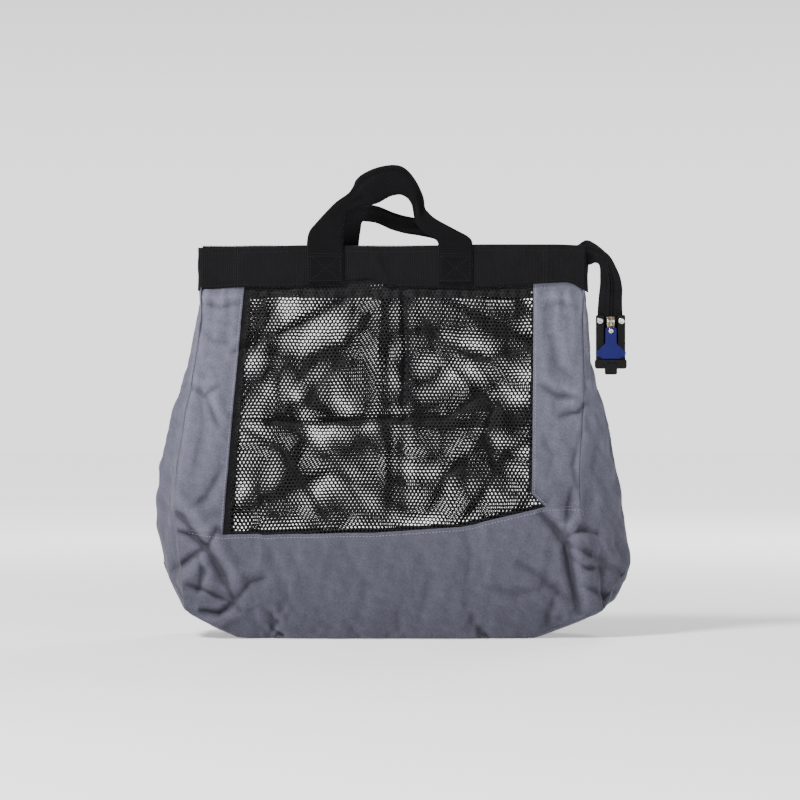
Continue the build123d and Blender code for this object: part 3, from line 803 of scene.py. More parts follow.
@dataclass
class Wall:
    """One wall's settled surface, read at any (x, z), with its folds and creases."""

    shell: ClothShell
    side: Side

    def own(self, x: Points, z: Points) -> tuple[Points, Points]:
        """The place (x, z) in the tables of folds; the rear wall's are mirrored and a little shrunk."""
        return (-0.97 * x + 0.004, 0.985 * z + 0.006) if self.side is Side.REAR else (x, z)

    def net_creases(self, x: Points, z: Points) -> Points:
        """How far the netting stands out at (x, z) because of its packing creases."""
        window = np.clip((0.20 - np.abs(x)) / 0.012, 0, 1) * np.clip((z - 0.13) / 0.012, 0, 1)
        across, up = self.own(x, z)
        return window * sum(fold.relief(across, up) for fold in NET_FOLDS)

    def relief(self, x: Points, z: Points) -> Points:
        """How far the cloth stands out at (x, z): storage creases, puckers and corner folds."""
        seed = 47 if self.side is Side.REAR else 11
        low = np.clip((0.425 - z) / 0.02, 0, 1)
        across, up = self.own(x, z)
        total = 1.3 * MM * ripple(x, z, 0.110, seed) + 0.6 * MM * ripple(x, z, 0.034, seed + 1)
        total = total + 0.22 * MM * ripple(x, z, 0.014, seed + 2)
        for folds, depth in ((CORNER_FOLDS, 1.55), (FLANK_FOLDS, 1.6)):
            total = total + depth * sum(fold.relief(across, up) for fold in folds)
        return (total + 0.8 * self.net_creases(x, z)) * low

    def shares(self, x: Points, z: Points) -> tuple[Points, Points]:
        """Shares u across, from -1 to 1 between the side seams, and v up the wall, of a place (x, z)."""
        u = x / SHAPE.seam_x(z, x, self.side)
        for _ in range(6):
            foot = SHAPE.foot_z(u * SHAPE.seam_low)
            v = (z - foot) / (SHAPE.wall_top - foot)
            u = 0.4 * u + 0.6 * x / SHAPE.seam_x(SHAPE.up(SHAPE.corner, v), x, self.side)
        return np.clip(u, -1, 1), np.clip(v, 0, 1)

    def points(self, x: Points, z: Points, proud: float | Points = 0.0, across: Points | None = None) -> Points:
        """Positions on the wall's outer face.

        Args:
            x: distances along the mouth.
            z: heights; above the wall's top edge the cloth runs on up behind the band.
            proud: how far outside the surface the points lie.
            across: shares u across the wall, where they are known better than x.

        Returns:
            One point for each (x, z).
        """
        x, z = np.broadcast_arrays(np.asarray(x, float), np.asarray(z, float))
        within = np.minimum(z, SHAPE.wall_top)
        u, v = self.shares(x, within)
        if across is not None:
            u = across + 0 * u
        grid = self.shell.grids[self.side.name.lower()]
        place = smooth_sample(grid, v * (grid.shape[0] - 1), (u + 1) / 2 * (grid.shape[1] - 1))
        out = self.relief(place[..., 0], place[..., 2] + z - within) + proud
        out = out - SHAPE.seam_valley((1 - np.abs(u)) * SHAPE.seam_low, place[..., 2])
        tuck = np.clip((z - 0.404) / 0.012, 0, 1)
        out = out - 2.6 * MM * tuck * tuck * (3 - 2 * tuck)
        place[..., 1] += self.side.value * out
        place[..., 2] = np.maximum(place[..., 2] + z - within, 0.2 * MM)
        return place


# ---------------------------------------------------------------- makers

# Smoothing passes and depth scale of the hollow measure, which the cotton material turns into painted crease shade and
# painted ridge highlight.
HOLLOW_PASSES = 9
HOLLOW_DEPTH = 1.3 * MM


def cloth_patch(
    name: str,
    surface: Surface,
    rows: int,
    columns: int,
    size: Pair,
    thickness: float,
    outward: Vector,
) -> Object:
    """Make a cloth piece from a surface over the unit square.

    Args:
        name: the piece's name.
        surface: gives positions at (a, b), each from 0 to 1, across and up.
        rows: vertices up.
        columns: vertices across.
        size: its real width and height, for the weave's UV map.
        thickness: the cloth's thickness, laid behind the surface.
        outward: roughly the way its outer face looks.

    Returns:
        The piece.
    """
    b, a = np.meshgrid(np.linspace(0, 1, rows), np.linspace(0, 1, columns), indexing="ij")
    places = surface(a, b).reshape(-1, 3)
    uvs = np.stack([a.ravel() * size[0], b.ravel() * size[1]], -1)
    obj = mesh_object(name, places, grid_faces(rows, columns), uvs)
    # Hollow measure: how far each point sinks below its smoothed neighbours, stored for the cotton's painted shade in
    # creases and painted highlight on ridges.
    even = places.reshape(rows, columns, 3).copy()
    for _ in range(HOLLOW_PASSES):
        beside = even[:-2, 1:-1] + even[2:, 1:-1] + even[1:-1, :-2] + even[1:-1, 2:]
        even[1:-1, 1:-1] = beside / 4
    hollow = (places - even.reshape(-1, 3)) @ np.array(outward) / HOLLOW_DEPTH
    obj.data.attributes.new("hollow", "FLOAT", "POINT").data.foreach_set("value", hollow.astype(np.float32))
    face_towards(obj, outward)
    return thickened(obj, thickness)


def ribbon(
    name: str,
    edges: Sequence[Sequence[float]],
    depth: Callable[[Points, Points], Points],
    thickness: Callable[[Points], Points],
    step: float = 2.2 * MM,
    across: int = 15,
) -> Object:
    """Make a length of webbing that lies between two edge lines in the XZ plane.

    Args:
        name: the piece's name.
        edges: stations, each x and z of one edge and then of the other, in millimetres.
        depth: y at a share of the length and a place across from -1 to 1.
        thickness: thickness at a share of the length.
        step: spacing of the cross sections.
        across: vertices across each face.

    Returns:
        A closed mesh, with u across and v along it in metres.
    """
    stations = np.array(edges, float).reshape(-1, 2, 2) * MM
    middle = stations.mean(axis=1)
    run = np.concatenate([[0], np.cumsum(np.linalg.norm(np.diff(middle, axis=0), axis=1))])
    count = max(int(run[-1] / step), 8)
    column = np.interp(np.linspace(0, run[-1], count), run, np.arange(len(run)))
    padded = np.concatenate([stations, np.zeros(stations.shape[:2] + (1,))], -1)
    one, other = (smooth_sample(padded, column, np.full(count, float(i)))[:, :2] for i in (0, 1))
    share = np.linspace(0, 1, count)
    q = np.sin(np.linspace(-math.pi / 2, math.pi / 2, across))
    q = 0.5 * q + 0.5 * np.linspace(-1, 1, across)
    round_edge = np.sqrt(np.clip(1 - np.abs(q) ** 7, 0, 1))
    width = np.linalg.norm(other - one, axis=1)
    rings, uvs = [], []
    length = np.concatenate([[0], np.cumsum(np.linalg.norm(np.diff((one + other) / 2, axis=0), axis=1))])
    for face, order in ((-1, slice(None)), (1, slice(-2, 0, -1))):
        p = q[order]
        flat = one[:, None] + (other - one)[:, None] * ((p + 1) / 2)[None, :, None]
        y = depth(share[:, None], p[None, :]) + face * thickness(share)[:, None] / 2 * round_edge[order]
        rings.append(np.stack([flat[..., 0], y, flat[..., 1]], -1))
        uvs.append(np.stack([p[None, :] * width[:, None] / 2, length[:, None] + 0 * p[None, :]], -1))
    ring, uv = np.concatenate(rings, 1), np.concatenate(uvs, 1)
    columns = ring.shape[1]
    faces = grid_faces(count, columns, closed=True)
    faces.append(tuple(range(columns))[::-1])
    faces.append(tuple((count - 1) * columns + i for i in range(columns)))
    obj = mesh_object(name, ring.reshape(-1, 3), faces, uv.reshape(-1, 2))
    facing_out(obj)
    return obj


def node_group(name: str, inputs: dict[str, str]) -> tuple[Tree, dict[str, Socket]]:
    """Start a Geometry Nodes tree.

    Args:
        name: its name.
        inputs: the end of the socket type of each named input.

    Returns:
        The tree and its inputs, the material among them.
    """
    tree = bpy.data.node_groups.new(name, "GeometryNodeTree")
    for label, kind in ({"Geometry": "Geometry"} | inputs | {"Material": "Material"}).items():
        tree.interface.new_socket(label, in_out="INPUT", socket_type=f"NodeSocket{kind}")
    tree.interface.new_socket("Geometry", in_out="OUTPUT", socket_type="NodeSocketGeometry")
    return tree, add_node(tree, "NodeGroupInput").node.outputs


def close_group(tree: Tree, shape: Socket, material: Socket) -> Tree:
    """End a tree: instances made real, the material set."""
    real = add_node(tree, "GeometryNodeRealizeInstances", {"Geometry": shape})
    dressed = add_node(tree, "GeometryNodeSetMaterial", {"Geometry": real, "Material": material})
    add_node(tree, "NodeGroupOutput", {"Geometry": dressed})
    return tree


def apply_nodes(obj: Object, tree: Tree, values: dict) -> Object:
    """Run a Geometry Nodes tree on an object and keep the result as a plain mesh.

    Args:
        obj: the object.
        tree: the tree.
        values: its inputs by name.

    Returns:
        The object with its new mesh.
    """
    modifier = obj.modifiers.new(tree.name, "NODES")
    modifier.node_group = tree
    for socket in tree.interface.items_tree:
        if getattr(socket, "in_out", "") == "INPUT" and socket.name in values:
            modifier[socket.identifier] = values[socket.name]
    return made_plain(obj)


def bead_tree(name: str, segments: int, rings: int) -> Tree:
    """A tree that sets small rounded beads along the edges of a mesh: stitches, or the turns of a coil.

    Args:
        name: its name.
        segments: faces round a bead.
        rings: faces along it.

    Returns:
        The tree.
    """
    tree, given = node_group(name, dict.fromkeys(("Spacing", "Width", "Height", "Length"), "Float"))
    curve = add_node(tree, "GeometryNodeMeshToCurve", {"Mesh": given["Geometry"]})
    steps = {"Curve": curve, "Length": given["Spacing"]}
    spaced = add_node(tree, "GeometryNodeResampleCurve", steps, mode="LENGTH")
    points = add_node(tree, "GeometryNodeCurveToPoints", {"Curve": spaced}, "Points", mode="EVALUATED")
    bead = add_node(tree, "GeometryNodeMeshUVSphere", {"Segments": segments, "Rings": rings, "Radius": 0.5}, "Mesh")
    sizes = {"X": given["Width"], "Y": given["Height"], "Z": given["Length"]}
    beads = {
        "Points": points,
        "Instance": bead,
        "Rotation": points.node.outputs["Rotation"],
        "Scale": add_node(tree, "ShaderNodeCombineXYZ", sizes),
    }
    return close_group(tree, add_node(tree, "GeometryNodeInstanceOnPoints", beads), given["Material"])


def netting_tree() -> Tree:
    """A tree that turns a lattice of triangles into knitted netting with six-sided holes."""
    tree, given = node_group("netting", {"Hole": "Float"})
    cells = add_node(tree, "GeometryNodeDualMesh", {"Mesh": given["Geometry"]})
    each = {"Mesh": cells, "Offset Scale": 0.0, "Individual": True}
    ring = add_node(tree, "GeometryNodeExtrudeMesh", each, "Mesh", mode="FACES")
    top = ring.node.outputs["Top"]
    uneven = {"Vector": add_node(tree, "GeometryNodeInputPosition"), "Scale": 17.0, "Detail": 2.5, "Distortion": 0.6}
    pull = add_node(tree, "ShaderNodeTexNoise", uneven, "Fac")
    stretch = {"Value": pull, "From Min": 0.34, "From Max": 0.60, "To Min": 0.76, "To Max": 1.08}
    size = add_node(tree, "ShaderNodeMapRange", stretch)
    gathered = add_node(tree, "GeometryNodeInputNamedAttribute", {"Name": "openness"}, data_type="FLOAT")
    for factor in (gathered, given["Hole"]):
        size = add_node(tree, "ShaderNodeMath", {0: size, 1: factor}, operation="MULTIPLY")
    hole = add_node(tree, "GeometryNodeScaleElements", {"Geometry": ring, "Selection": top, "Scale": size})
    cut = add_node(tree, "GeometryNodeDeleteGeometry", {"Geometry": hole, "Selection": top}, domain="FACE")
    return close_group(tree, cut, given["Material"])


@dataclass
class Bench:
    """The finishes, and the trees that sew stitches, wind zip coils and knit netting."""

    spacing: float = 3.9 * MM
    length: float = 2.5 * MM
    thread: float = 0.65 * MM
    finishes: Finishes = field(default_factory=Finishes)
    stitches: Tree = field(default_factory=lambda: bead_tree("stitch_rows", 6, 5))
    turns: Tree = field(default_factory=lambda: bead_tree("zip_coil", 8, 6))
    netting: Tree = field(default_factory=netting_tree)

    def string(self, name: str, paths: Sequence[Points], tree: Tree, sizes: tuple, look: tuple) -> Object:
        """Set beads along paths.

        Args:
            name: the piece's name.
            paths: the lines to follow.
            tree: stitches or turns.
            sizes: spacing, width, height and length of the beads.
            look: their material and the record's slot.

        Returns:
            One mesh of all the beads.
        """
        mesh = bpy.data.meshes.new(name)
        starts = np.cumsum([0] + [len(path) for path in paths])
        edges = [(s + i, s + i + 1) for s, path in zip(starts.tolist(), paths) for i in range(len(path) - 1)]
        mesh.from_pydata(np.concatenate(paths).tolist(), edges, [])
        values = dict(zip(("Spacing", "Width", "Height", "Length", "Material"), (*sizes, look[0])))
        obj = apply_nodes(linked(name, mesh), tree, values)
        obj.data.shade_smooth()
        return finished(obj, *look)

    def sew(self, name: str, paths: Sequence[Points], black: bool = True) -> Object:
        """Sew rows of stitches along paths, in black or grey thread."""
        look = (self.finishes.black_thread, "webbing") if black else (self.finishes.grey_thread, "cotton")
        return self.string(name, paths, self.stitches, (self.spacing, self.thread, self.thread, self.length), look)

    def wind(self, name: str, path: Points, pitch: float, width: float, height: float) -> Object:
        """Wind a zip coil's turns along a path."""
        sizes = (pitch, width, height, 0.72 * pitch)
        return self.string(name, [path], self.turns, sizes, (self.finishes.coil, "zip_coil"))


# ---------------------------------------------------------------- riding


@dataclass(frozen=True)
class MouthBend:
    """Where wall pieces go: rear ones ride on the bag's body, front ones keep their places baked into their meshes."""

    held_x: float = 0.219
    free_x: float = 0.104
    height: float = 0.30

    def ride(self, obj: Object, side: Side) -> None:
        """Set a half piece on its wall: a rear one rides on the bag's body; a front one has its transform baked into
        its mesh.
        """
        if side is Side.REAR:
            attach(obj, "bag")
            return
        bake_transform(obj)

    def ride_whole(self, obj: Object, side: Side, node: str) -> list[Object]:
        """Cut a piece that spans the wall into two halves and set each half on its wall.

        Args:
            obj: the whole piece.
            side: the wall it is on.
            node: the CAD node that it stands for.

        Returns:
            The two halves.
        """
        slot = obj["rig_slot"]
        parts = halves(obj)
        for half, piece in parts.items():
            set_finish(piece, slot)
            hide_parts(node)
            self.ride(piece, side)
        return list(parts.values())


MOUTH = MouthBend()


# ---------------------------------------------------------------- cloth walls


@dataclass
class WallPanels:
    """The cotton, netting, binding and hem of one wall."""

    wall: Wall
    bench: Bench
    window_left_x: Pair = (-202 * MM, -178 * MM)
    window_right_x: tuple = (182 * MM, 164 * MM, 168 * MM)
    window_right_z: Pair = (157 * MM, 174 * MM)
    window_foot: float = 125 * MM
    side_seam_z: Pair = (132 * MM, 160 * MM)
    seam_line_x: tuple = (-245, -202, -110, -23, 80, 138, 182, 243)
    seam_line_z: tuple = (133, 125, 124, 125, 132, 146, 157, 161)
    cotton_thickness: float = 0.9 * MM
    overlap: float = 5 * MM
    rise: float = 13 * MM
    pitch: float = 4.5 * MM
    hole: float = 0.62
    hem_hole: float = 0.36
    strip_hole: float = 0.42
    drift: float = 2.6 * MM
    net_thickness: float = 0.9 * MM
    hem: float = 17 * MM
    binding: float = 11 * MM

    def __post_init__(self) -> None:
        """Name the wall, its outward way and the height that its cloth runs up to."""
        self.side = self.wall.side
        self.label = self.side.name.lower()
        self.outward = Vector((0, self.side.value, 0))
        self.high = SHAPE.wall_top + self.rise

    def window_left(self, z: Points) -> Points:
        """The window's left edge at height z."""
        return np.interp(z, [self.window_foot, SHAPE.wall_top], self.window_left_x)

    def window_right(self, z: Points) -> Points:
        """The window's right edge at height z."""
        return np.interp(z, [*self.window_right_z, SHAPE.wall_top], self.window_right_x)

    def seam_z(self, x: Points) -> Points:
        """Height of the seam above the lower panel at x."""
        return np.interp(x / MM, self.seam_line_x, self.seam_line_z) * MM

    def build(self) -> None:
        """Make every piece of the wall."""
        self.flanks()
        self.lower_panel()
        self.window()
        self.stitching()

    def flanks(self) -> None:
        """The cotton strips at each side of the window."""
        window_z = (self.window_foot, self.window_right_z[0])
        edges = (self.window_left, self.window_right)
        for half, edge, foot, seam, width in zip(Half, edges, window_z, self.side_seam_z, (0.058, 0.060)):

            def surface(a: Points, b: Points) -> Points:
                """The flank's places at (a, b), with t running from the side seam to the window."""
                t = a if half is Half.LEFT else 1 - a
                low = seam + (foot - seam) * t - self.overlap
                z = low + (self.high - low) * b
                within = np.minimum(z, SHAPE.wall_top)
                inner, _ = self.wall.shares(edge(within), within)
                across = half.value * (1 - t) + inner * t
                x = across * SHAPE.seam_x(within, half.value, self.side)
                return self.wall.points(x, z, across=across)

            name, size = f"{self.label}_{half.name.lower()}_flank", (width, 0.30)
            obj = cloth_patch(f"{name}_cloth", surface, 170, 34, size, self.cotton_thickness, self.outward)
            finished(obj, self.bench.finishes.cotton, "cotton", [name])
            MOUTH.ride(obj, self.side)

    def lower_panel(self) -> None:
        """The wide cotton panel below the window."""

        def surface(a: Points, b: Points) -> Points:
            """The panel's places at (a, b)."""
            across = 2 * a - 1
            x = across * SHAPE.seam_low
            for _ in range(3):
                foot = SHAPE.foot_z(x)
                z = foot + (self.seam_z(x) + 2 * MM - foot) * b
                share = np.clip((z - foot) / (SHAPE.wall_top - foot), 0, 1)
                x = across * SHAPE.seam_x(SHAPE.up(SHAPE.corner, share), across, self.side)
            lift = 0.5 * MM * np.clip((1 - np.abs(across)) / 0.02, 0, 1)
            return self.wall.points(x, z, proud=lift, across=across)

        name = f"{self.label}_lower_panel"
        obj = cloth_patch(f"{name}_cloth", surface, 80, 251, (0.498, 0.150), self.cotton_thickness, self.outward)
        finished(obj, self.bench.finishes.cotton, "cotton")
        for piece in MOUTH.ride_whole(obj, self.side, name):
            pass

    def lattice(self, inside: Surface, box: tuple, shift: float) -> tuple[Points, list]:
        """A staggered lattice of triangles, kept where inside(x, z) says so.

        Args:
            inside: tells which lattice points are kept.
            box: lowest x, highest x, lowest z and highest z.
            shift: moves the lattice along x.

        Returns:
            The points as (x, z) and the triangles.
        """
        rise = self.pitch * math.sqrt(3) / 2
        columns = int((box[1] - box[0]) / self.pitch) + 2
        rows = int((box[3] - box[2]) / rise) + 2
        r, c = np.meshgrid(np.arange(-8, rows + 8), np.arange(-8, columns + 8), indexing="ij")
        rows, columns = r.shape
        x = (box[0] + box[1]) / 2 + (shift + (c + 0.5 * (r % 2)) * self.pitch - (box[1] - box[0]) / 2)
        z = (box[2] + box[3]) / 2 + (r * rise - (box[3] - box[2]) / 2)
        seed, drift = (71, self.drift) if self.side is Side.REAR else (91, 0.5 * self.drift)
        x, z = x + drift * ripple(x, z, 0.15, seed), z + drift * ripple(x, z, 0.15, seed + 1)
        keep = (inside(x, z) & (x > box[0]) & (x < box[1]) & (z > box[2]) & (z < box[3])).ravel().tolist()
        triangles = []
        for row in range(rows - 1):
            for column in range(columns - 1):
                here = row * columns + column
                right, above, above_right = here + 1, here + columns, here + columns + 1
                if row % 2:
                    corners = ((here, right, above_right), (here, above_right, above))
                else:
                    corners = ((here, right, above), (right, above_right, above))
                triangles += [t for t in corners if all(keep[i] for i in t)]
        return np.stack([x.ravel(), z.ravel()], -1), triangles

    def net(self, name: str, inside: Surface, box: tuple, proud: float, hole: float, shift: float = 0.0) -> Object:
        """Knit a piece of netting and lay it on the wall.

        Args:
            name: the piece's name.
            inside: tells which lattice points are kept.
            box: the lattice's box.
            proud: how far it lies outside the wall's surface.
            hole: each hole's size as a share of its cell.
            shift: moves the lattice along x.

        Returns:
            The netting with its yarn's thickness.
        """
        flat, triangles = self.lattice(inside, box, shift)
        used, numbers = np.unique(np.array(triangles), return_inverse=True)
        x, z = flat[used].T
        obj = mesh_object(name, np.stack([x, 0 * x, z], -1), numbers.reshape(-1, 3).tolist())
        gather = np.clip(-self.wall.net_creases(x, z) / (4 * MM), 0, 1)
        openness = obj.data.attributes.new("openness", "FLOAT", "POINT")
        openness.data.foreach_set("value", (1 - 0.62 * gather).astype(np.float32))
        apply_nodes(obj, self.bench.netting, {"Hole": hole, "Material": self.bench.finishes.netting})
        mesh = obj.data
        mesh.attributes.remove(mesh.attributes["openness"])
        co = np.array([v.co for v in mesh.vertices])
        laid = self.wall.points(co[:, 0], co[:, 2], proud)
        mesh.vertices.foreach_set("co", laid.astype(np.float32).ravel())
        mesh.update()
        with edited(mesh) as shape:
            bmesh.ops.remove_doubles(shape, verts=shape.verts, dist=0.02 * MM)
        face_towards(obj, self.outward)
        thickened(obj, self.net_thickness).data.shade_smooth()
        return finished(obj, self.bench.finishes.netting, "mesh")

    def window(self) -> None:
        """The netting, its double hem under the band and the binding at its left."""
        top, low = SHAPE.wall_top, 0.112

        def in_window(x: Points, z: Points) -> Points:
            """Whether (x, z) is in the netting, with its overlaps."""
            beside = (x > self.window_left(z) - self.overlap) & (x < self.window_right(z) + 2 * self.overlap)
            return beside & (z > self.seam_z(x) - 2 * self.overlap) & (z < self.high)

        def in_hem(x: Points, z: Points) -> Points:
            """Whether (x, z) is in the hem."""
            beside = (x > self.window_left(z) + 2 * MM) & (x < self.window_right(z) + 0.8 * self.overlap)
            return beside & (z > top - self.hem) & (z < self.high)

        def in_strip(x: Points, z: Points) -> Points:
            """Whether (x, z) is in the doubled strip beside the binding."""
            beside = (x > self.window_left(z) + 1.5 * MM) & (x < self.window_left(z) + self.binding + 3 * MM)
            return beside & (z > self.seam_z(x) - self.overlap) & (z < self.high)

        def on_binding(a: Points, b: Points) -> Points:
            """The binding's places at (a, b)."""
            z = self.seam_z(self.window_left_x[0]) - self.overlap + (self.high - 0.12) * b
            x = self.window_left(np.minimum(z, top)) - 2 * MM + (self.binding - 2 * MM) * a
            return self.wall.points(x, z, proud=-0.9 * MM)

        mesh = self.net(f"{self.label}_netting", in_window, (-0.215, 0.202, low, self.high), -1.1 * MM, self.hole)
        for piece in MOUTH.ride_whole(mesh, self.side, f"{self.label}_mesh"):
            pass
        hem_box = (-0.20, 0.18, top - self.hem - self.pitch, self.high)
        for layer, (proud, shift) in enumerate(((-1.2 * MM, 0.5), (-0.9 * MM, 0.25)), 1):
            hem = self.net(f"{self.label}_hem_{layer}", in_hem, hem_box, proud, self.hem_hole, shift * self.pitch)
            MOUTH.ride_whole(hem, self.side, f"{self.label}_mesh_hem")
        strip = self.net(f"{self.label}_strip", in_strip, (-0.215, -0.16, low, self.high), -0.4 * MM, self.strip_hole)
        node, size = f"{self.label}_mesh_binding", (self.binding + 2 * MM, 0.30)
        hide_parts(node)
        tape = cloth_patch(f"{node}_tape", on_binding, 90, 9, size, 0.7 * MM, self.outward)
        finished(tape, self.bench.finishes.zip_tape, "webbing", [node])
        for piece in (strip, tape):
            MOUTH.ride(piece, self.side)

    def stitching(self) -> None:
        """One row along the lower seam and one at each side of the window."""
        proud, end, drop = self.bench.thread * 0.25, 0.243, 2.2 * MM
        for half, edge, beside, foot in (
            (Half.LEFT, self.window_left, -2.2 * MM, 0.135),
            (Half.RIGHT, self.window_right, 3 * MM, 0.162),
        ):
            across = np.linspace(0, half.value * end, 130)
            z = foot + (SHAPE.wall_top - foot) * np.linspace(0.0, 1.0, 150)
            rows = [
                self.wall.points(across, self.seam_z(across) - drop, 0.5 * MM + proud),
                self.wall.points(edge(z) + beside, z, proud),
            ]
            obj = self.bench.sew(f"{self.label}_{half.name.lower()}_stitches", rows, black=False)
            MOUTH.ride(obj, self.side)


@dataclass
class SideCloth:
    """The gussets, the base and its corners, cut from the settled shell."""

    shell: ClothShell
    bench: Bench
    walls: Sequence[Wall]
    thickness: float = 0.9 * MM

    def surface(self, grid: Points, seed: int, rise: float, along: bool) -> Surface:
        """A surface read from one of the shell's grids, with the walls' folds and its own wrinkles.

        Args:
            grid: the settled grid.
            seed: for the wrinkles.
            rise: their height.
            along: whether the front-to-rear way is along b, and not across.

        Returns:
            A function from (a, b) to places.
        """

        def at(p: Points, q: Points) -> Points:
            """The grid's places at (p, q)."""
            rows, columns = grid.shape[:2]
            return smooth_sample(grid, np.clip(q, 0, 1) * (rows - 1), np.clip(p, 0, 1) * (columns - 1))

        def read(a: Points, b: Points) -> Points:
            """The wrinkled surface's places at (a, b)."""
            small = 0.004
            normal = np.cross(at(a + small, b) - at(a - small, b), at(a, b + small) - at(a, b - small))
            normal /= np.maximum(np.linalg.norm(normal, axis=-1, keepdims=True), 1e-9)
            place = at(a, b)
            way = b if along else a
            edge = np.clip(np.minimum(way, 1 - way) / 0.08, 0, 1)
            for wall in self.walls:
                near = np.clip(1 - 2 * way if wall.side is Side.FRONT else 2 * way - 1, 0, 1)
                stand = wall.relief(place[..., 0], place[..., 2]) * near**0.5
                if not along:
                    stand = stand - SHAPE.seam_valley((1 - near) * 0.07, place[..., 2])
                place[..., 1] += wall.side.value * stand * (near > 0)
            out = rise * edge * ripple(place[..., 1] + place[..., 0], place[..., 2], 0.040, seed)
            out += 0.4 * rise * edge * ripple(place[..., 1], place[..., 2] + place[..., 0], 0.017, seed + 3)
            place = place + out[..., None] * normal
            place[..., 2] = np.maximum(place[..., 2], 0.2 * MM)
            return place

        return read

    def piece(self, name: str, grid: str, look: tuple, mesh: tuple, outward: tuple, sheet: tuple) -> None:
        """Args:
            name: the piece's name.
            grid: the shell's grid.
            look: seed and height of its wrinkles, and whether front to rear is along it.
            mesh: rows, columns and the size of its UV map.
            outward: the way it faces.
            sheet: the CAD node, which is hidden; its flat size, how it is held and what it rests on are not used.
        """
        surface = self.surface(self.shell.grids[grid], *look)
        obj = cloth_patch(f"{name}_cloth", surface, *mesh, self.thickness, Vector(outward))
        finished(obj, self.bench.finishes.cotton, "cotton", [sheet[0]], "bag")

    def build(self) -> None:
        """Make the gussets, the corners and the base."""
        for hand in Half:
            name, way = hand.name.lower(), hand.value
            end = f"{name}_band_end_webbing"
            gusset, corner = ((f"{name}_gusset", (0.14, 0.40)), (f"{name}_base_corner", (0.12, 0.10)))
            look, mesh = (5 + way, 1.2 * MM, False), (190, 72, (0.13, 0.38))
            self.piece(f"{name}_gusset", f"{name}_gusset", look, mesh, (way, 0, 0), (*gusset, "hung", end))
            look, mesh = (15 + way, 0.8 * MM, True), (72, 36, (0.06, 0.10))
            self.piece(f"{name}_corner", f"{name}_cap", look, mesh, (way, 0, -1), (*corner, "hung", end))
        base = ("base_panel", (0.52, 0.115), "laid", "front_lower_panel")
        self.piece("base", "base", (25, 0.3 * MM, True), (40, 200, (0.50, 0.11)), (0, 0, -1), base)


# ---------------------------------------------------------------- band, zip and handles


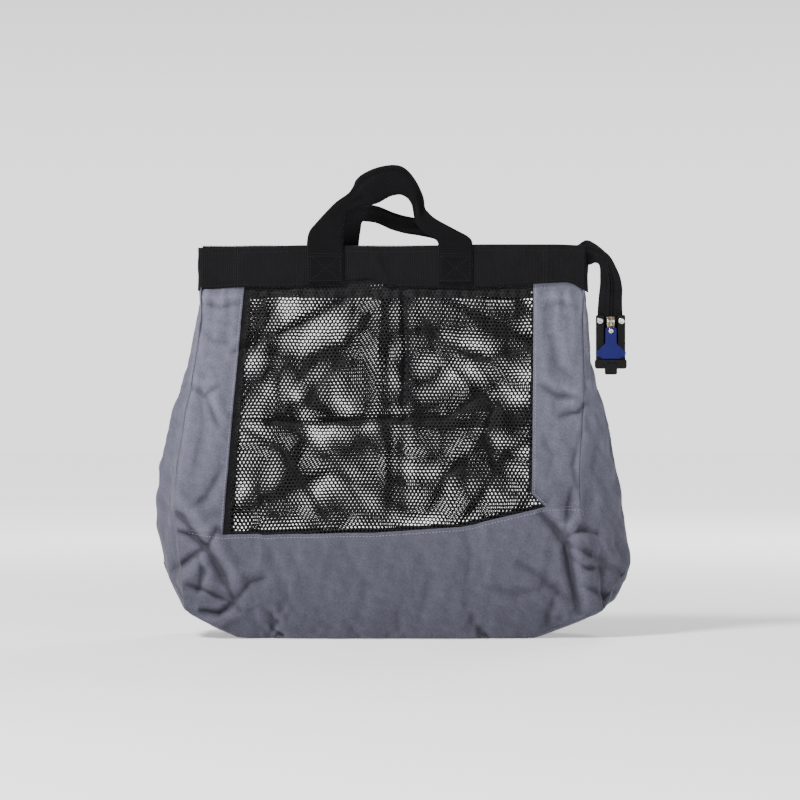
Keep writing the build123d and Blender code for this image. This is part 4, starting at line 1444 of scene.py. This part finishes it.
@dataclass
class MouthBand:
    """The webbing band round the mouth, with its top stitching and the zip sewn inside it."""

    bench: Bench
    thickness: float = 2.0 * MM
    top_x: tuple = (-231, -184, -110, 0, 60, 105, 200, 231)
    top_z: tuple = (463.5, 465, 467.5, 466, 467.5, 468.5, 468.5, 467)
    low_x: tuple = (-231, -184, -120, -85, -55, -28, -12, 4, 60, 110, 168, 200, 211, 222, 231)
    low_z: tuple = (414, 417, 417, 419, 424, 428.5, 421, 417, 416.5, 417, 421, 422.5, 423.5, 418, 410)
    seams: tuple = ((-190 * MM, -186 * MM), (180 * MM, 184 * MM))
    coil: tuple = (1.5 * MM, 2.3 * MM, 2.0 * MM)

    def edge(self, xs: tuple, zs: tuple, x: Points, side: Side) -> Points:
        """One edge's height at x; the rear band's waves are lower."""
        places = np.array(xs) * MM
        level = np.mean(zs)
        wide = sum(np.interp(x + d, places, zs) for d in (-8 * MM, -4 * MM, 4 * MM, 8 * MM))
        z = (np.interp(x, places, zs) + wide) / 5
        return MM * (z if side is Side.FRONT else level + (z - level) * 0.4)

    def face_y(self, x: Points, z: Points, side: Side) -> Points:
        """Distance of the band's middle layer from the centre, with its waves and its pinched fold."""
        wave = 0.5 * MM * ripple(x, z * 0.3, 0.16, 71 if side is Side.FRONT else 77)
        wave += 0.25 * MM * ripple(x, z, 0.05, 73)
        if side is Side.FRONT:
            line = (x + 0.0155) + 0.45 * (z - 0.441)
            wave += crease(line, 1.9 * MM, 4 * MM) - crease(line - 0.012, 1.2 * MM, 5 * MM)
        held = np.clip((SHAPE.band_end - np.abs(x)) / 0.01, 0, 1)
        return SHAPE.band_face - self.thickness / 2 - 0.1 * MM + wave * held

    def build(self) -> None:
        """Make both bands, their ends and the zip."""
        for side in Side:
            self.band(side)
            self.zip_half(side)
        self.ends()

    def band(self, side: Side) -> None:
        """One wall's band, split at its middle, with its rows of stitches."""
        label = side.name.lower()
        x = np.linspace(-SHAPE.band_end, SHAPE.band_end, 231)
        top, low = self.edge(self.top_x, self.top_z, x, side), self.edge(self.low_x, self.low_z, x, side)

        def depth(share: Points, q: Points) -> Points:
            """The band's y, with the groove of its top stitching."""
            groove = crease(np.abs(q - 0.72), 0.35 * MM, 0.03)
            return side.value * (self.face_y((2 * share - 1) * SHAPE.band_end, 0.443 + 0.025 * q, side) - groove * 0.5)

        def thick(share: Points) -> Points:
            """The band's even thickness."""
            return np.full_like(share, self.thickness)

        obj = ribbon(f"{label}_band_webbing", np.stack([x, low, x, top], -1) / MM, depth, thick, 3 * MM, 25)
        finished(obj, self.bench.finishes.webbing, "webbing")
        for piece in MOUTH.ride_whole(obj, side, f"{label}_band"):
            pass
        for half, seams in zip(Half, self.seams):
            px = half.value * np.linspace(0, SHAPE.band_end - 2 * MM, 120)
            lines = [(px, self.edge(self.top_x, self.top_z, px, side) - 7 * MM)]
            lines += [(px, self.edge(self.low_x, self.low_z, px, side) + 3 * MM)]
            lines += [(np.full(16, seam), np.linspace(0.418, 0.464, 16)) for seam in seams]
            out = self.thickness / 2 - 0.1 * MM
            paths = [np.stack([x, side.value * (self.face_y(x, z, side) + out), z], -1) for x, z in lines]
            MOUTH.ride(self.bench.sew(f"{label}_{half.name.lower()}_band_stitches", paths), side)

    def zip_half(self, side: Side) -> None:
        """One half of the zip: its tape rises inside the band and turns in to the coil."""
        label = side.name.lower()
        reach = SHAPE.band_end - 3 * MM
        inside = SHAPE.band_face - self.thickness - 0.5 * MM
        top = SHAPE.band_top - 1.6 * MM
        middle = 0.25 * MM + self.coil[1] / 2

        def surface(a: Points, b: Points) -> Points:
            """The tape's places at (a, b)."""
            x = (2 * a - 1) * reach
            turn = np.clip((b - 0.55) / 0.45, 0, 1)
            z = top - 14 * MM + 14 * MM * np.clip(b / 0.6, 0, 1) ** 0.8
            y = inside + (middle - inside) * turn**1.2
            z = z - 1.2 * MM * np.sin(turn * math.pi) * 0.4 + 0.3 * MM * ripple(x, b * 0.01, 0.07, 81)
            return np.stack([x, side.value * y, z], -1)

        tape = cloth_patch(f"{label}_zip_tape_cloth", surface, 14, 150, (0.45, 0.02), 0.7 * MM, Vector((0, 0, 1)))
        finished(tape, self.bench.finishes.zip_tape, "zip_tape")
        MOUTH.ride_whole(tape, side, f"{label}_zip_tape")
        x = np.linspace(-reach, reach, 400)
        z = top + 0.3 * MM + 0.3 * MM * ripple(x, 0 * x + 0.01, 0.07, 81)
        line = np.stack([x, 0 * x + side.value * middle, z], -1)
        for half in Half:
            turns = self.bench.wind(f"{label}_{half.name.lower()}_coil_turns", line[x * half.value > 0], *self.coil)
            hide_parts(f"{label}_zip_coil")
            MOUTH.ride(turns, side)

    def ends(self) -> None:
        """The short bands over the gussets, closed round from the front band to the rear one."""
        for hand in Half:
            node = f"{hand.name.lower()}_band_end"
            low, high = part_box(node)
            top = min(high.z, 0.4645)

            def surface(a: Points, b: Points) -> Points:
                """The end's places at (a, b)."""
                w = 2 * a - 1
                y = (SHAPE.band_face - 0.6 * MM) * w
                drop = 3 * MM * (1 - np.abs(w)) if hand is Half.RIGHT else 1 * MM
                z = low.z - 4 * MM - drop + (top - low.z + 4 * MM + drop) * b
                x = SHAPE.band_end + 0.6 * MM + 2.4 * MM * (1 - np.abs(w) ** 2.2)
                x = x + 0.4 * MM * ripple(y * 3, z, 0.03, 91)
                return np.stack([hand.value * x, y + 0 * z, z], -1)

            way = Vector((hand.value, 0, 0))
            piece = cloth_patch(f"{node}_webbing", surface, 22, 16, (0.02, 0.05), 1.8 * MM, way)
            finished(piece, self.bench.finishes.webbing, "webbing", [node], "bag")


@dataclass
class Handle:
    """One webbing handle: two sewn ends, two legs and a folded grip, in one length."""

    side: Side
    edges: Sequence[Sequence[float]]
    grip: Pair
    grip_thickness: float
    bench: Bench
    lean: float = 0.0
    thickness: float = 2.2 * MM
    hinge_reach: float = 7 * MM

    def build(self) -> None:
        """Make the handle and its box stitching."""
        label = self.side.name.lower()
        root = SHAPE.band_face + self.thickness / 2

        def swell(s: Points) -> Points:
            """How far the webbing is folded into the grip, from 0 to 1."""
            rise = np.clip((s - self.grip[0]) / 0.03, 0, 1) * np.clip((self.grip[1] - s) / 0.05, 0, 1)
            return rise * rise * (3 - 2 * rise)

        def thick(s: Points) -> Points:
            """The webbing's thickness along its length."""
            return self.thickness + (self.grip_thickness - self.thickness) * swell(s)

        def depth(s: Points, q: Points) -> Points:
            """The webbing's y: its lean, its waves, the grip's fold and a twist after it."""
            up = np.clip((s - 0.16) / 0.12, 0, 1) * np.clip((0.84 - s) / 0.12, 0, 1)
            y = root + self.lean * up + 0.8 * MM * up * np.sin(9 * s + 2 * q)
            y = y + swell(s) * (1.4 * MM * np.cos(q * 2.2) - crease(q + 0.62, 2.6 * MM, 0.07))
            joint = np.exp(-(((s - self.grip[0] + 0.012) / 0.02) ** 2))
            y = y - joint * 1.5 * MM * np.abs(np.sin(3.5 * q + 0.6))
            twist = np.exp(-(((s - self.grip[1] - 0.01) / 0.035) ** 2))
            return self.side.value * (y + twist * (2.2 * MM * np.sin(5 * q + 1) + 1.2 * MM * q))

        obj = ribbon(f"{label}_handle_webbing", self.edges, depth, thick, 2.0 * MM, 21)
        nodes = [f"{label}_handle_{n}" for n in ("left_end", "right_end", "left_leg", "right_leg", "grip")]
        finished(obj, self.bench.finishes.handle, "webbing", nodes)
        rows = self.bench.sew(f"{label}_handle_stitches", self.box_rows(root))
        parent = "front_wall" if self.side is Side.FRONT else "bag"
        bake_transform(obj)
        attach(rows, parent)

    def box_rows(self, root: float) -> list[Points]:
        """The box and cross that sew each end to the band."""
        paths = []
        y = self.side.value * (root + self.thickness / 2)
        for one, foot, other, _ in (self.edges[0], self.edges[-1]):
            left, right = min(one, other) + 3.5, max(one, other) - 3.5
            low, high = foot + 3, foot + 32
            box = [(left, low), (right, low), (right, high), (left, high), (left, low)]
            bar = [(left, high + 3), (right, high + 3)]
            for line in (box, [box[0], box[2]], [box[3], box[1]], bar):
                paths.append(np.array([(x * MM, y, z * MM) for x, z in line]))
        return paths


FRONT_HANDLE = (
    (-102, 422, -59, 424), (-102, 440, -59, 442), (-102.5, 456, -59, 458), (-103, 471, -59.5, 471),
    (-100, 484, -59, 484), (-92, 494, -58.5, 495), (-81, 506, -57, 505), (-68, 519, -52, 510), (-54, 529, -41, 513),
    (-48, 537, -27, 515), (-44.5, 545, -17, 518), (-37, 552, -9, 522.5), (-23, 559, -3, 525.5), (-6, 563, 3, 527),
    (8, 562.5, 8, 527.5), (18, 556.5, 13, 526), (26.5, 546, 18, 522.5), (33, 534, 21, 518), (37, 523, 23, 513),
    (38.5, 512, 24.5, 504), (42, 507, 27, 494), (51, 499, 34, 486), (72, 487.5, 45, 478), (92, 476, 53, 471.5),
    (95.5, 464, 54, 464), (95.5, 444, 54, 444), (95.5, 422, 54, 422),
)
REAR_HANDLE = (
    (-82, 424, -41, 424), (-82, 446, -41, 446), (-82, 470, -41, 470), (-80, 486, -39, 486), (-74, 501, -37, 496),
    (-60, 513, -31, 496.5), (-40, 518, -21, 495), (-19, 515.5, -11, 491), (0, 508, -2, 487), (13, 504, 14, 482.5),
    (28, 501, 30, 480), (48, 496, 45, 477), (72, 487, 54, 474), (91, 476, 56, 471), (96, 464, 56, 464),
    (96, 444, 56, 444), (96, 424, 56, 424),
)


# ---------------------------------------------------------------- zip tail and lock

TAIL = (
    (204, 464, 204, 447), (220, 467.5, 222, 445), (232, 474, 235, 444), (243.5, 469, 242, 446.5),
    (254, 460.5, 246.5, 445), (261.5, 453, 248.2, 439.5), (268.5, 440, 248.4, 430), (273, 429, 248.3, 420),
    (275.3, 416, 247, 408), (275, 402, 246, 397), (275.3, 388, 245.4, 386), (276, 372, 246, 372),
    (276, 352, 246, 352),
)


def soft_copy(name: str, node: str, edge: float, material: Material, body: str) -> Object:
    """Copy a brass CAD node with its sharp edges rounded.

    Args:
        name: the piece's name.
        node: the CAD node, which the copy stands for.
        edge: the radius of the rounded edges.
        material: its finish.
        body: the body that it rides on.

    Returns:
        The copy.
    """
    obj = linked(name, bpy.data.meshes.new(name))
    shape = bmesh.new()
    shape.from_mesh(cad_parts[node].data)
    bmesh.ops.remove_doubles(shape, verts=shape.verts, dist=0.004 * MM)
    bmesh.ops.dissolve_limit(shape, angle_limit=math.radians(4), verts=shape.verts, edges=shape.edges)
    shape.to_mesh(obj.data)
    shape.free()
    bevelled(obj, edge, 3, 35).data.shade_smooth()
    return finished(obj, material, "brass", [node], body)


def plate(name: str, outline: Sequence[Pair], back: float, front: float, edge: float) -> Object:
    """Make a flat moulding from its (x, z) outline, with rounded edges.

    Args:
        name: the piece's name.
        outline: corners in metres, in order.
        back: y of its rear face.
        front: y of its front face.
        edge: radius of its edges.

    Returns:
        The moulding.
    """
    count = len(outline)
    points = [(x, back, z) for x, z in outline] + [(x, front, z) for x, z in outline]
    faces = [tuple(range(count)), tuple(range(2 * count - 1, count - 1, -1))]
    faces += [(i, (i + 1) % count, count + (i + 1) % count, count + i) for i in range(count)]
    obj = mesh_object(name, np.array(points), faces)
    facing_out(obj)
    return bevelled(obj, edge, 4, 50)


def rounded_box(left: float, right: float, low: float, high: float, corner: float) -> list[Pair]:
    """The outline of a box in the XZ plane with round corners."""
    outline = []
    ends = ((right - corner, left + corner), (high - corner, low + corner))
    centres = [(ends[0][i], ends[1][j]) for i, j in ((0, 0), (1, 0), (1, 1), (0, 1))]
    for quarter, (x, z) in enumerate(centres):
        for step in range(5):
            angle = (quarter + step / 4) * math.pi / 2
            outline.append((x + corner * math.cos(angle), z + corner * math.sin(angle)))
    return outline


def turned(name: str, profile: Sequence[Pair], centre: tuple, segments: int = 28) -> Object:
    """Turn a profile about the Y axis through centre.

    Args:
        name: the piece's name.
        profile: (radius, distance towards -Y) from the outer edge to the middle.
        centre: a point on the axis.
        segments: steps round the axis.

    Returns:
        The turned shape, closed at its back.
    """
    angle = np.linspace(0, math.tau, segments, endpoint=False)
    rings = [
        np.stack([centre[0] + r * np.cos(angle), np.full(segments, centre[1] - h), centre[2] + r * np.sin(angle)], -1)
        for r, h in profile
    ]
    last = (len(profile) - 1) * segments
    faces = grid_faces(len(profile), segments, closed=True)
    faces += [tuple(range(segments)), tuple(last + i for i in range(segments))[::-1]]
    obj = mesh_object(name, np.concatenate(rings), faces)
    facing_out(obj)
    return obj


@dataclass
class ZipTail:
    """The zip's tail: two tapes side by side, the coil between them, and the shoulder at the band."""

    bench: Bench
    hinge_z: float = 0.440
    hinge_reach: float = 6 * MM
    coil: tuple = (1.6 * MM, 2.9 * MM, 1.7 * MM)
    coil_apart: float = 2.7 * MM

    def build(self) -> None:
        """Make the tape and its coil."""

        def depth(s: Points, q: Points) -> Points:
            """The tape's y: its waves, the ridges beside the coil and the shoulder's fold."""
            wave = 0.9 * MM * np.sin(13 * s + 0.5) * np.clip((0.75 - s) / 0.2, 0, 1) * np.clip(s / 0.2, 0, 1)
            ridge = crease(np.abs(np.abs(q) - 0.27), 0.5 * MM, 0.05) - 0.8 * MM * (np.abs(q) < 0.24)
            fold = 0.7 * MM * np.sin(6 * q + 9 * s) * np.exp(-(((s - 0.30) / 0.14) ** 2))
            return wave + ridge * np.clip((s - 0.12) / 0.1, 0, 1) + fold

        def thick(s: Points) -> Points:
            """The tape's thickness, doubled at the shoulder."""
            return np.interp(s, [0, 0.3, 0.5, 1], [2.6 * MM, 2.4 * MM, 1.4 * MM, 1.1 * MM])

        tape = ribbon("zip_tail_tape", TAIL, depth, thick, 1.6 * MM, 31)
        nodes = ["tail_shoulder", "tail_inner_tape", "tail_outer_tape"]
        pieces = [finished(tape, self.bench.finishes.zip_tape, "zip_tape", nodes)]
        middle = np.array(TAIL[3:]).reshape(-1, 2, 2).mean(axis=1) * MM
        grid = np.stack([np.column_stack([middle, np.zeros(len(middle))])] * 2, 1)
        line = smooth_sample(grid, np.linspace(0, len(middle) - 1, 160), np.zeros(160))
        path = np.stack([line[:, 0], np.full(160, -1.3 * MM), line[:, 1]], -1)
        for name, way in (("inner", -0.5), ("outer", 0.5)):
            beside = path + np.array([way * self.coil_apart, 0, 0])
            pieces.append(self.bench.wind(f"tail_{name}_coil_turns", beside, *self.coil))
            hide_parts(f"tail_{name}_coil")
        for piece in pieces:
            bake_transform(piece)


@dataclass
class SealLock:
    """The lock at the tail's end, with its slider, T pull and latch tab."""

    finishes: Finishes
    arm_width: float = 9.5 * MM
    arm_face: float = 4.4 * MM
    foot_rise: float = 5.6 * MM

    def build(self) -> None:
        """Make every piece of the lock."""
        self.plates()
        self.chamber()
        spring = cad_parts["latch_spring"]
        spring.data.materials.clear()
        spring.data.materials.append(self.finishes.spring)
        self.rivets()
        self.slider()
        self.pull()

    def moulding(self, name: str, outline: list, faces: Pair, edge: float, node: str, body: str = "zip_tail") -> None:
        """Mould one black piece of the lock.

        Args:
            name: its name.
            outline: its rounded box: left, right, low, high and corner.
            faces: y of its rear and front faces.
            edge: radius of its edges.
            node: the CAD node that it stands for.
            body: the body that it rides on.
        """
        finished(plate(name, rounded_box(*outline), *faces, edge), self.finishes.lock, "lock_plastic", [node], body)

    def plates(self) -> None:
        """The back plate and the two arms that grip the tapes against it."""
        low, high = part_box("lock_back_plate")
        foot = low.z + self.foot_rise
        outline = (low.x, high.x, foot, high.z, 2 * MM)
        self.moulding("lock_back", outline, (high.y, low.y), 0.7 * MM, "lock_back_plate")
        faces = (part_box("lock_front_housing")[1].y, -self.arm_face)
        for name, left in (("left", low.x), ("right", high.x - self.arm_width)):
            outline = (left, left + self.arm_width, foot, high.z, 1.8 * MM)
            self.moulding(f"lock_arm_{name}", outline, faces, 0.8 * MM, "lock_front_housing")

    def chamber(self) -> None:
        """The bevelled block across the arms' foot, and the latch tab that is pressed up into it."""
        low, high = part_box("lock_front_housing")
        top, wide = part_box("t_pull")[0].z - 0.3 * MM, 1.6 * MM
        outline = (low.x - wide, high.x + wide, low.z + 3.4 * MM, top, 3.0 * MM)
        self.moulding("lock_chamber", outline, (-0.2 * MM, low.y - 0.1 * MM), 1.3 * MM, "lock_front_housing")
        low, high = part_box("latch_tab")
        outline = (low.x - 0.4 * MM, high.x + 0.4 * MM, low.z, high.z + 2.4 * MM, 2.0 * MM)
        self.moulding("latch_button", outline, (high.y, low.y - 0.7 * MM), 1.0 * MM, "latch_tab", "latch")

    def rivets(self) -> None:
        """The two rivets through the arms."""
        low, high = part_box("lock_rivets")
        radius, stem, face = (high.z - low.z) / 2, 1.5 * MM, self.arm_face
        head = ((1.06, 0.0), (1.1, 0.35), (0.8, 0.85), (0.45, 1.05), (0.40, 0.8), (0.2, 0.72))
        profile = [(stem, -high.y), (stem, face)] + [(radius * wide, face + out * MM) for wide, out in head]
        for name, x in (("left", low.x + radius), ("right", high.x - radius)):
            piece = turned(f"lock_rivet_{name}", profile, (x, 0, (high.z + low.z) / 2))
            finished(piece, self.finishes.nickel, "steel", ["lock_rivets"], "zip_tail")

    def slider(self) -> None:
        """The brass slider body, its bridge and the two bright lugs beside it."""
        soft_copy("slider_plates", "slider_body", 0.35 * MM, self.finishes.brass, "slider")
        soft_copy("slider_loop", "slider_bridge", 0.35 * MM, self.finishes.brass, "slider")
        low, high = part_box("slider_body")
        for name, left in (("left", low.x + 0.3 * MM), ("right", high.x - 3.7 * MM)):
            outline = rounded_box(left, left + 3.4 * MM, low.z + 3.6 * MM, low.z + 8.4 * MM, 1.2 * MM)
            lug = plate(f"slider_lug_{name}", outline, low.y + 0.3 * MM, low.y - 0.8 * MM, 0.4 * MM)
            finished(lug, self.finishes.nickel, "brass", body="slider")

    def pull(self) -> None:
        """The blue T pull with its hollow shoulders, its eye and its rivet."""
        low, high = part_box("t_pull")
        middle, foot = (low.x + high.x) / 2, (high.x - low.x) / 2
        stem, shoulder, round_end = 6.7 * MM, low.z + 21 * MM, 4.4 * MM
        right: list[Pair] = [(stem - 1.2 * MM, high.z), (stem, high.z - 1.2 * MM), (stem, shoulder)]
        for step in range(1, 9):
            angle = math.pi + step / 8 * math.pi / 2.6
            right.append((stem + 5.5 * MM + 5.5 * MM * math.cos(angle), shoulder + 6.2 * MM * math.sin(angle)))
        right.append((foot - 4.0 * MM, low.z + 11.5 * MM))
        for step in range(7):
            angle = math.pi / 2 - step / 6 * math.pi
            x, z = foot - round_end + round_end * math.cos(angle), 6.6 * MM + round_end * math.sin(angle)
            right.append((x, low.z + z))
        right.append((foot - 8 * MM, low.z))
        outline = [(middle + x, z) for x, z in right] + [(middle - x, z) for x, z in reversed(right)]
        blue = plate("t_pull_moulding", outline, high.y, low.y, 0.7 * MM)
        finished(blue, self.finishes.blue, "pull_plastic", ["t_pull"], "pull")
        soft_copy("pull_link", "pull_eye", 0.3 * MM, self.finishes.brass, "pull")
        rivet_low, rivet_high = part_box("pull_rivet")
        radius = (rivet_high.x - rivet_low.x) / 2
        head = ((1, -0.2), (1, 0.3), (0.8, 0.75), (0.42, 0.95), (0.36, 0.7), (0.15, 0.65))
        profile = [(radius * wide, -low.y + out * MM) for wide, out in head]
        rivet = turned("pull_rivet_head", profile, (middle, 0, (rivet_low.z + rivet_high.z) / 2))
        finished(rivet, self.finishes.nickel, "steel", ["pull_rivet"], "pull")


# ---------------------------------------------------------------- studio


@dataclass
class Studio:
    """A white sweep, soft lights and a long-lens camera square to the front wall."""

    centre: tuple = (8.4 * MM, 0.0, 282 * MM)
    view_width: float = 0.96
    distance: float = 3.4
    sensor: float = 36.0
    floor_reach: float = 12.0

    def build(self) -> None:
        """Set up the camera, the floor and the lights."""
        self.camera()
        self.sweep()
        self.lights()

    def camera(self) -> None:
        """The camera, square to the front."""
        data = bpy.data.cameras.new("camera")
        data.sensor_width = self.sensor
        data.lens = self.sensor * self.distance / self.view_width
        obj = linked("camera", data)
        obj.location = (self.centre[0], self.centre[1] - self.distance, self.centre[2])
        obj.rotation_euler = (math.pi / 2, 0, 0)
        bpy.context.scene.camera = obj

    def sweep(self) -> None:
        """A pale floor."""
        corners = np.array([(-1, -1, 0), (1, -1, 0), (1, 1, 0), (-1, 1, 0)]) * self.floor_reach
        floor = mesh_object("floor", corners, [(0, 1, 2, 3)])
        mat, tree, place = start_material("white_floor")
        reach = add_node(tree, "ShaderNodeVectorMath", {0: place}, "Value", operation="LENGTH")
        glow = {"Value": reach, "From Min": 0.5, "From Max": 2.6, "To Min": 0.45, "To Max": 1.55}
        far = add_node(tree, "ShaderNodeMapRange", glow, interpolation_type="SMOOTHSTEP")
        shader = {"Base Color": linear("#fbfbfb"), "Roughness": 0.9, "Emission Color": (1, 1, 1, 1)}
        wire(tree.nodes["Principled BSDF"], shader | {"Emission Strength": far})
        floor.data.materials.append(mat)
        floor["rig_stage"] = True

    def lights(self) -> None:
        """A white room and three large soft lights."""
        world = bpy.data.worlds.new("white_room")
        world.use_nodes = True
        tree = world.node_tree
        way = add_node(tree, "ShaderNodeTexCoord", out="Generated")
        rise = add_node(tree, "ShaderNodeSeparateXYZ", {0: way}, "Z")
        height = add_node(tree, "ShaderNodeMath", {0: rise}, operation="ABSOLUTE")
        walls = {"Value": height, "From Min": 0.06, "From Max": 0.30, "To Min": 1.9, "To Max": 0.22}
        band = add_node(tree, "ShaderNodeMapRange", walls, interpolation_type="SMOOTHSTEP")
        wire(tree.nodes["Background"], {"Strength": band, "Color": (1, 1, 1, 1)})
        bpy.context.scene.world = world
        for name, place, size, power in (
            ("key", (-1.6, -1.35, 2.6), 0.7, 150.0),
            ("fill", (1.6, -2.6, 0.9), 1.4, 8.0),
            ("back", (1.2, 2.4, 2.2), 1.2, 50.0),
        ):
            data = bpy.data.lights.new(name, "AREA")
            data.size, data.energy = size, power
            obj = linked(name, data)
            obj.location = place
            aim = Vector((0, 0, 0.25)) - Vector(place)
            obj.rotation_euler = aim.to_track_quat("-Z", "Y").to_euler()


# ---------------------------------------------------------------- the whole bag


def main() -> None:
    """Build the bag around the frame."""
    logging.basicConfig(level=logging.INFO, format="%(name)s: %(message)s")
    Studio().build()
    bench = Bench()
    shell = ClothShell()
    shell.settle()
    MouthBand(bench).build()
    walls = [Wall(shell, side) for side in Side]
    for wall in walls:
        WallPanels(wall, bench).build()
        log.info("%s wall made", wall.side.name.lower())
    SideCloth(shell, bench, walls).build()
    Handle(Side.FRONT, FRONT_HANDLE, (0.37, 0.66), 8.5 * MM, bench, lean=1.0 * MM).build()
    Handle(Side.REAR, REAR_HANDLE, (0.40, 0.62), 4.5 * MM, bench).build()
    ZipTail(bench).build()
    SealLock(bench.finishes).build()
    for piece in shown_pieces():
        log.info("%s: %d faces", piece.name, len(piece.data.polygons))


if __name__ == "__main__":
    main()
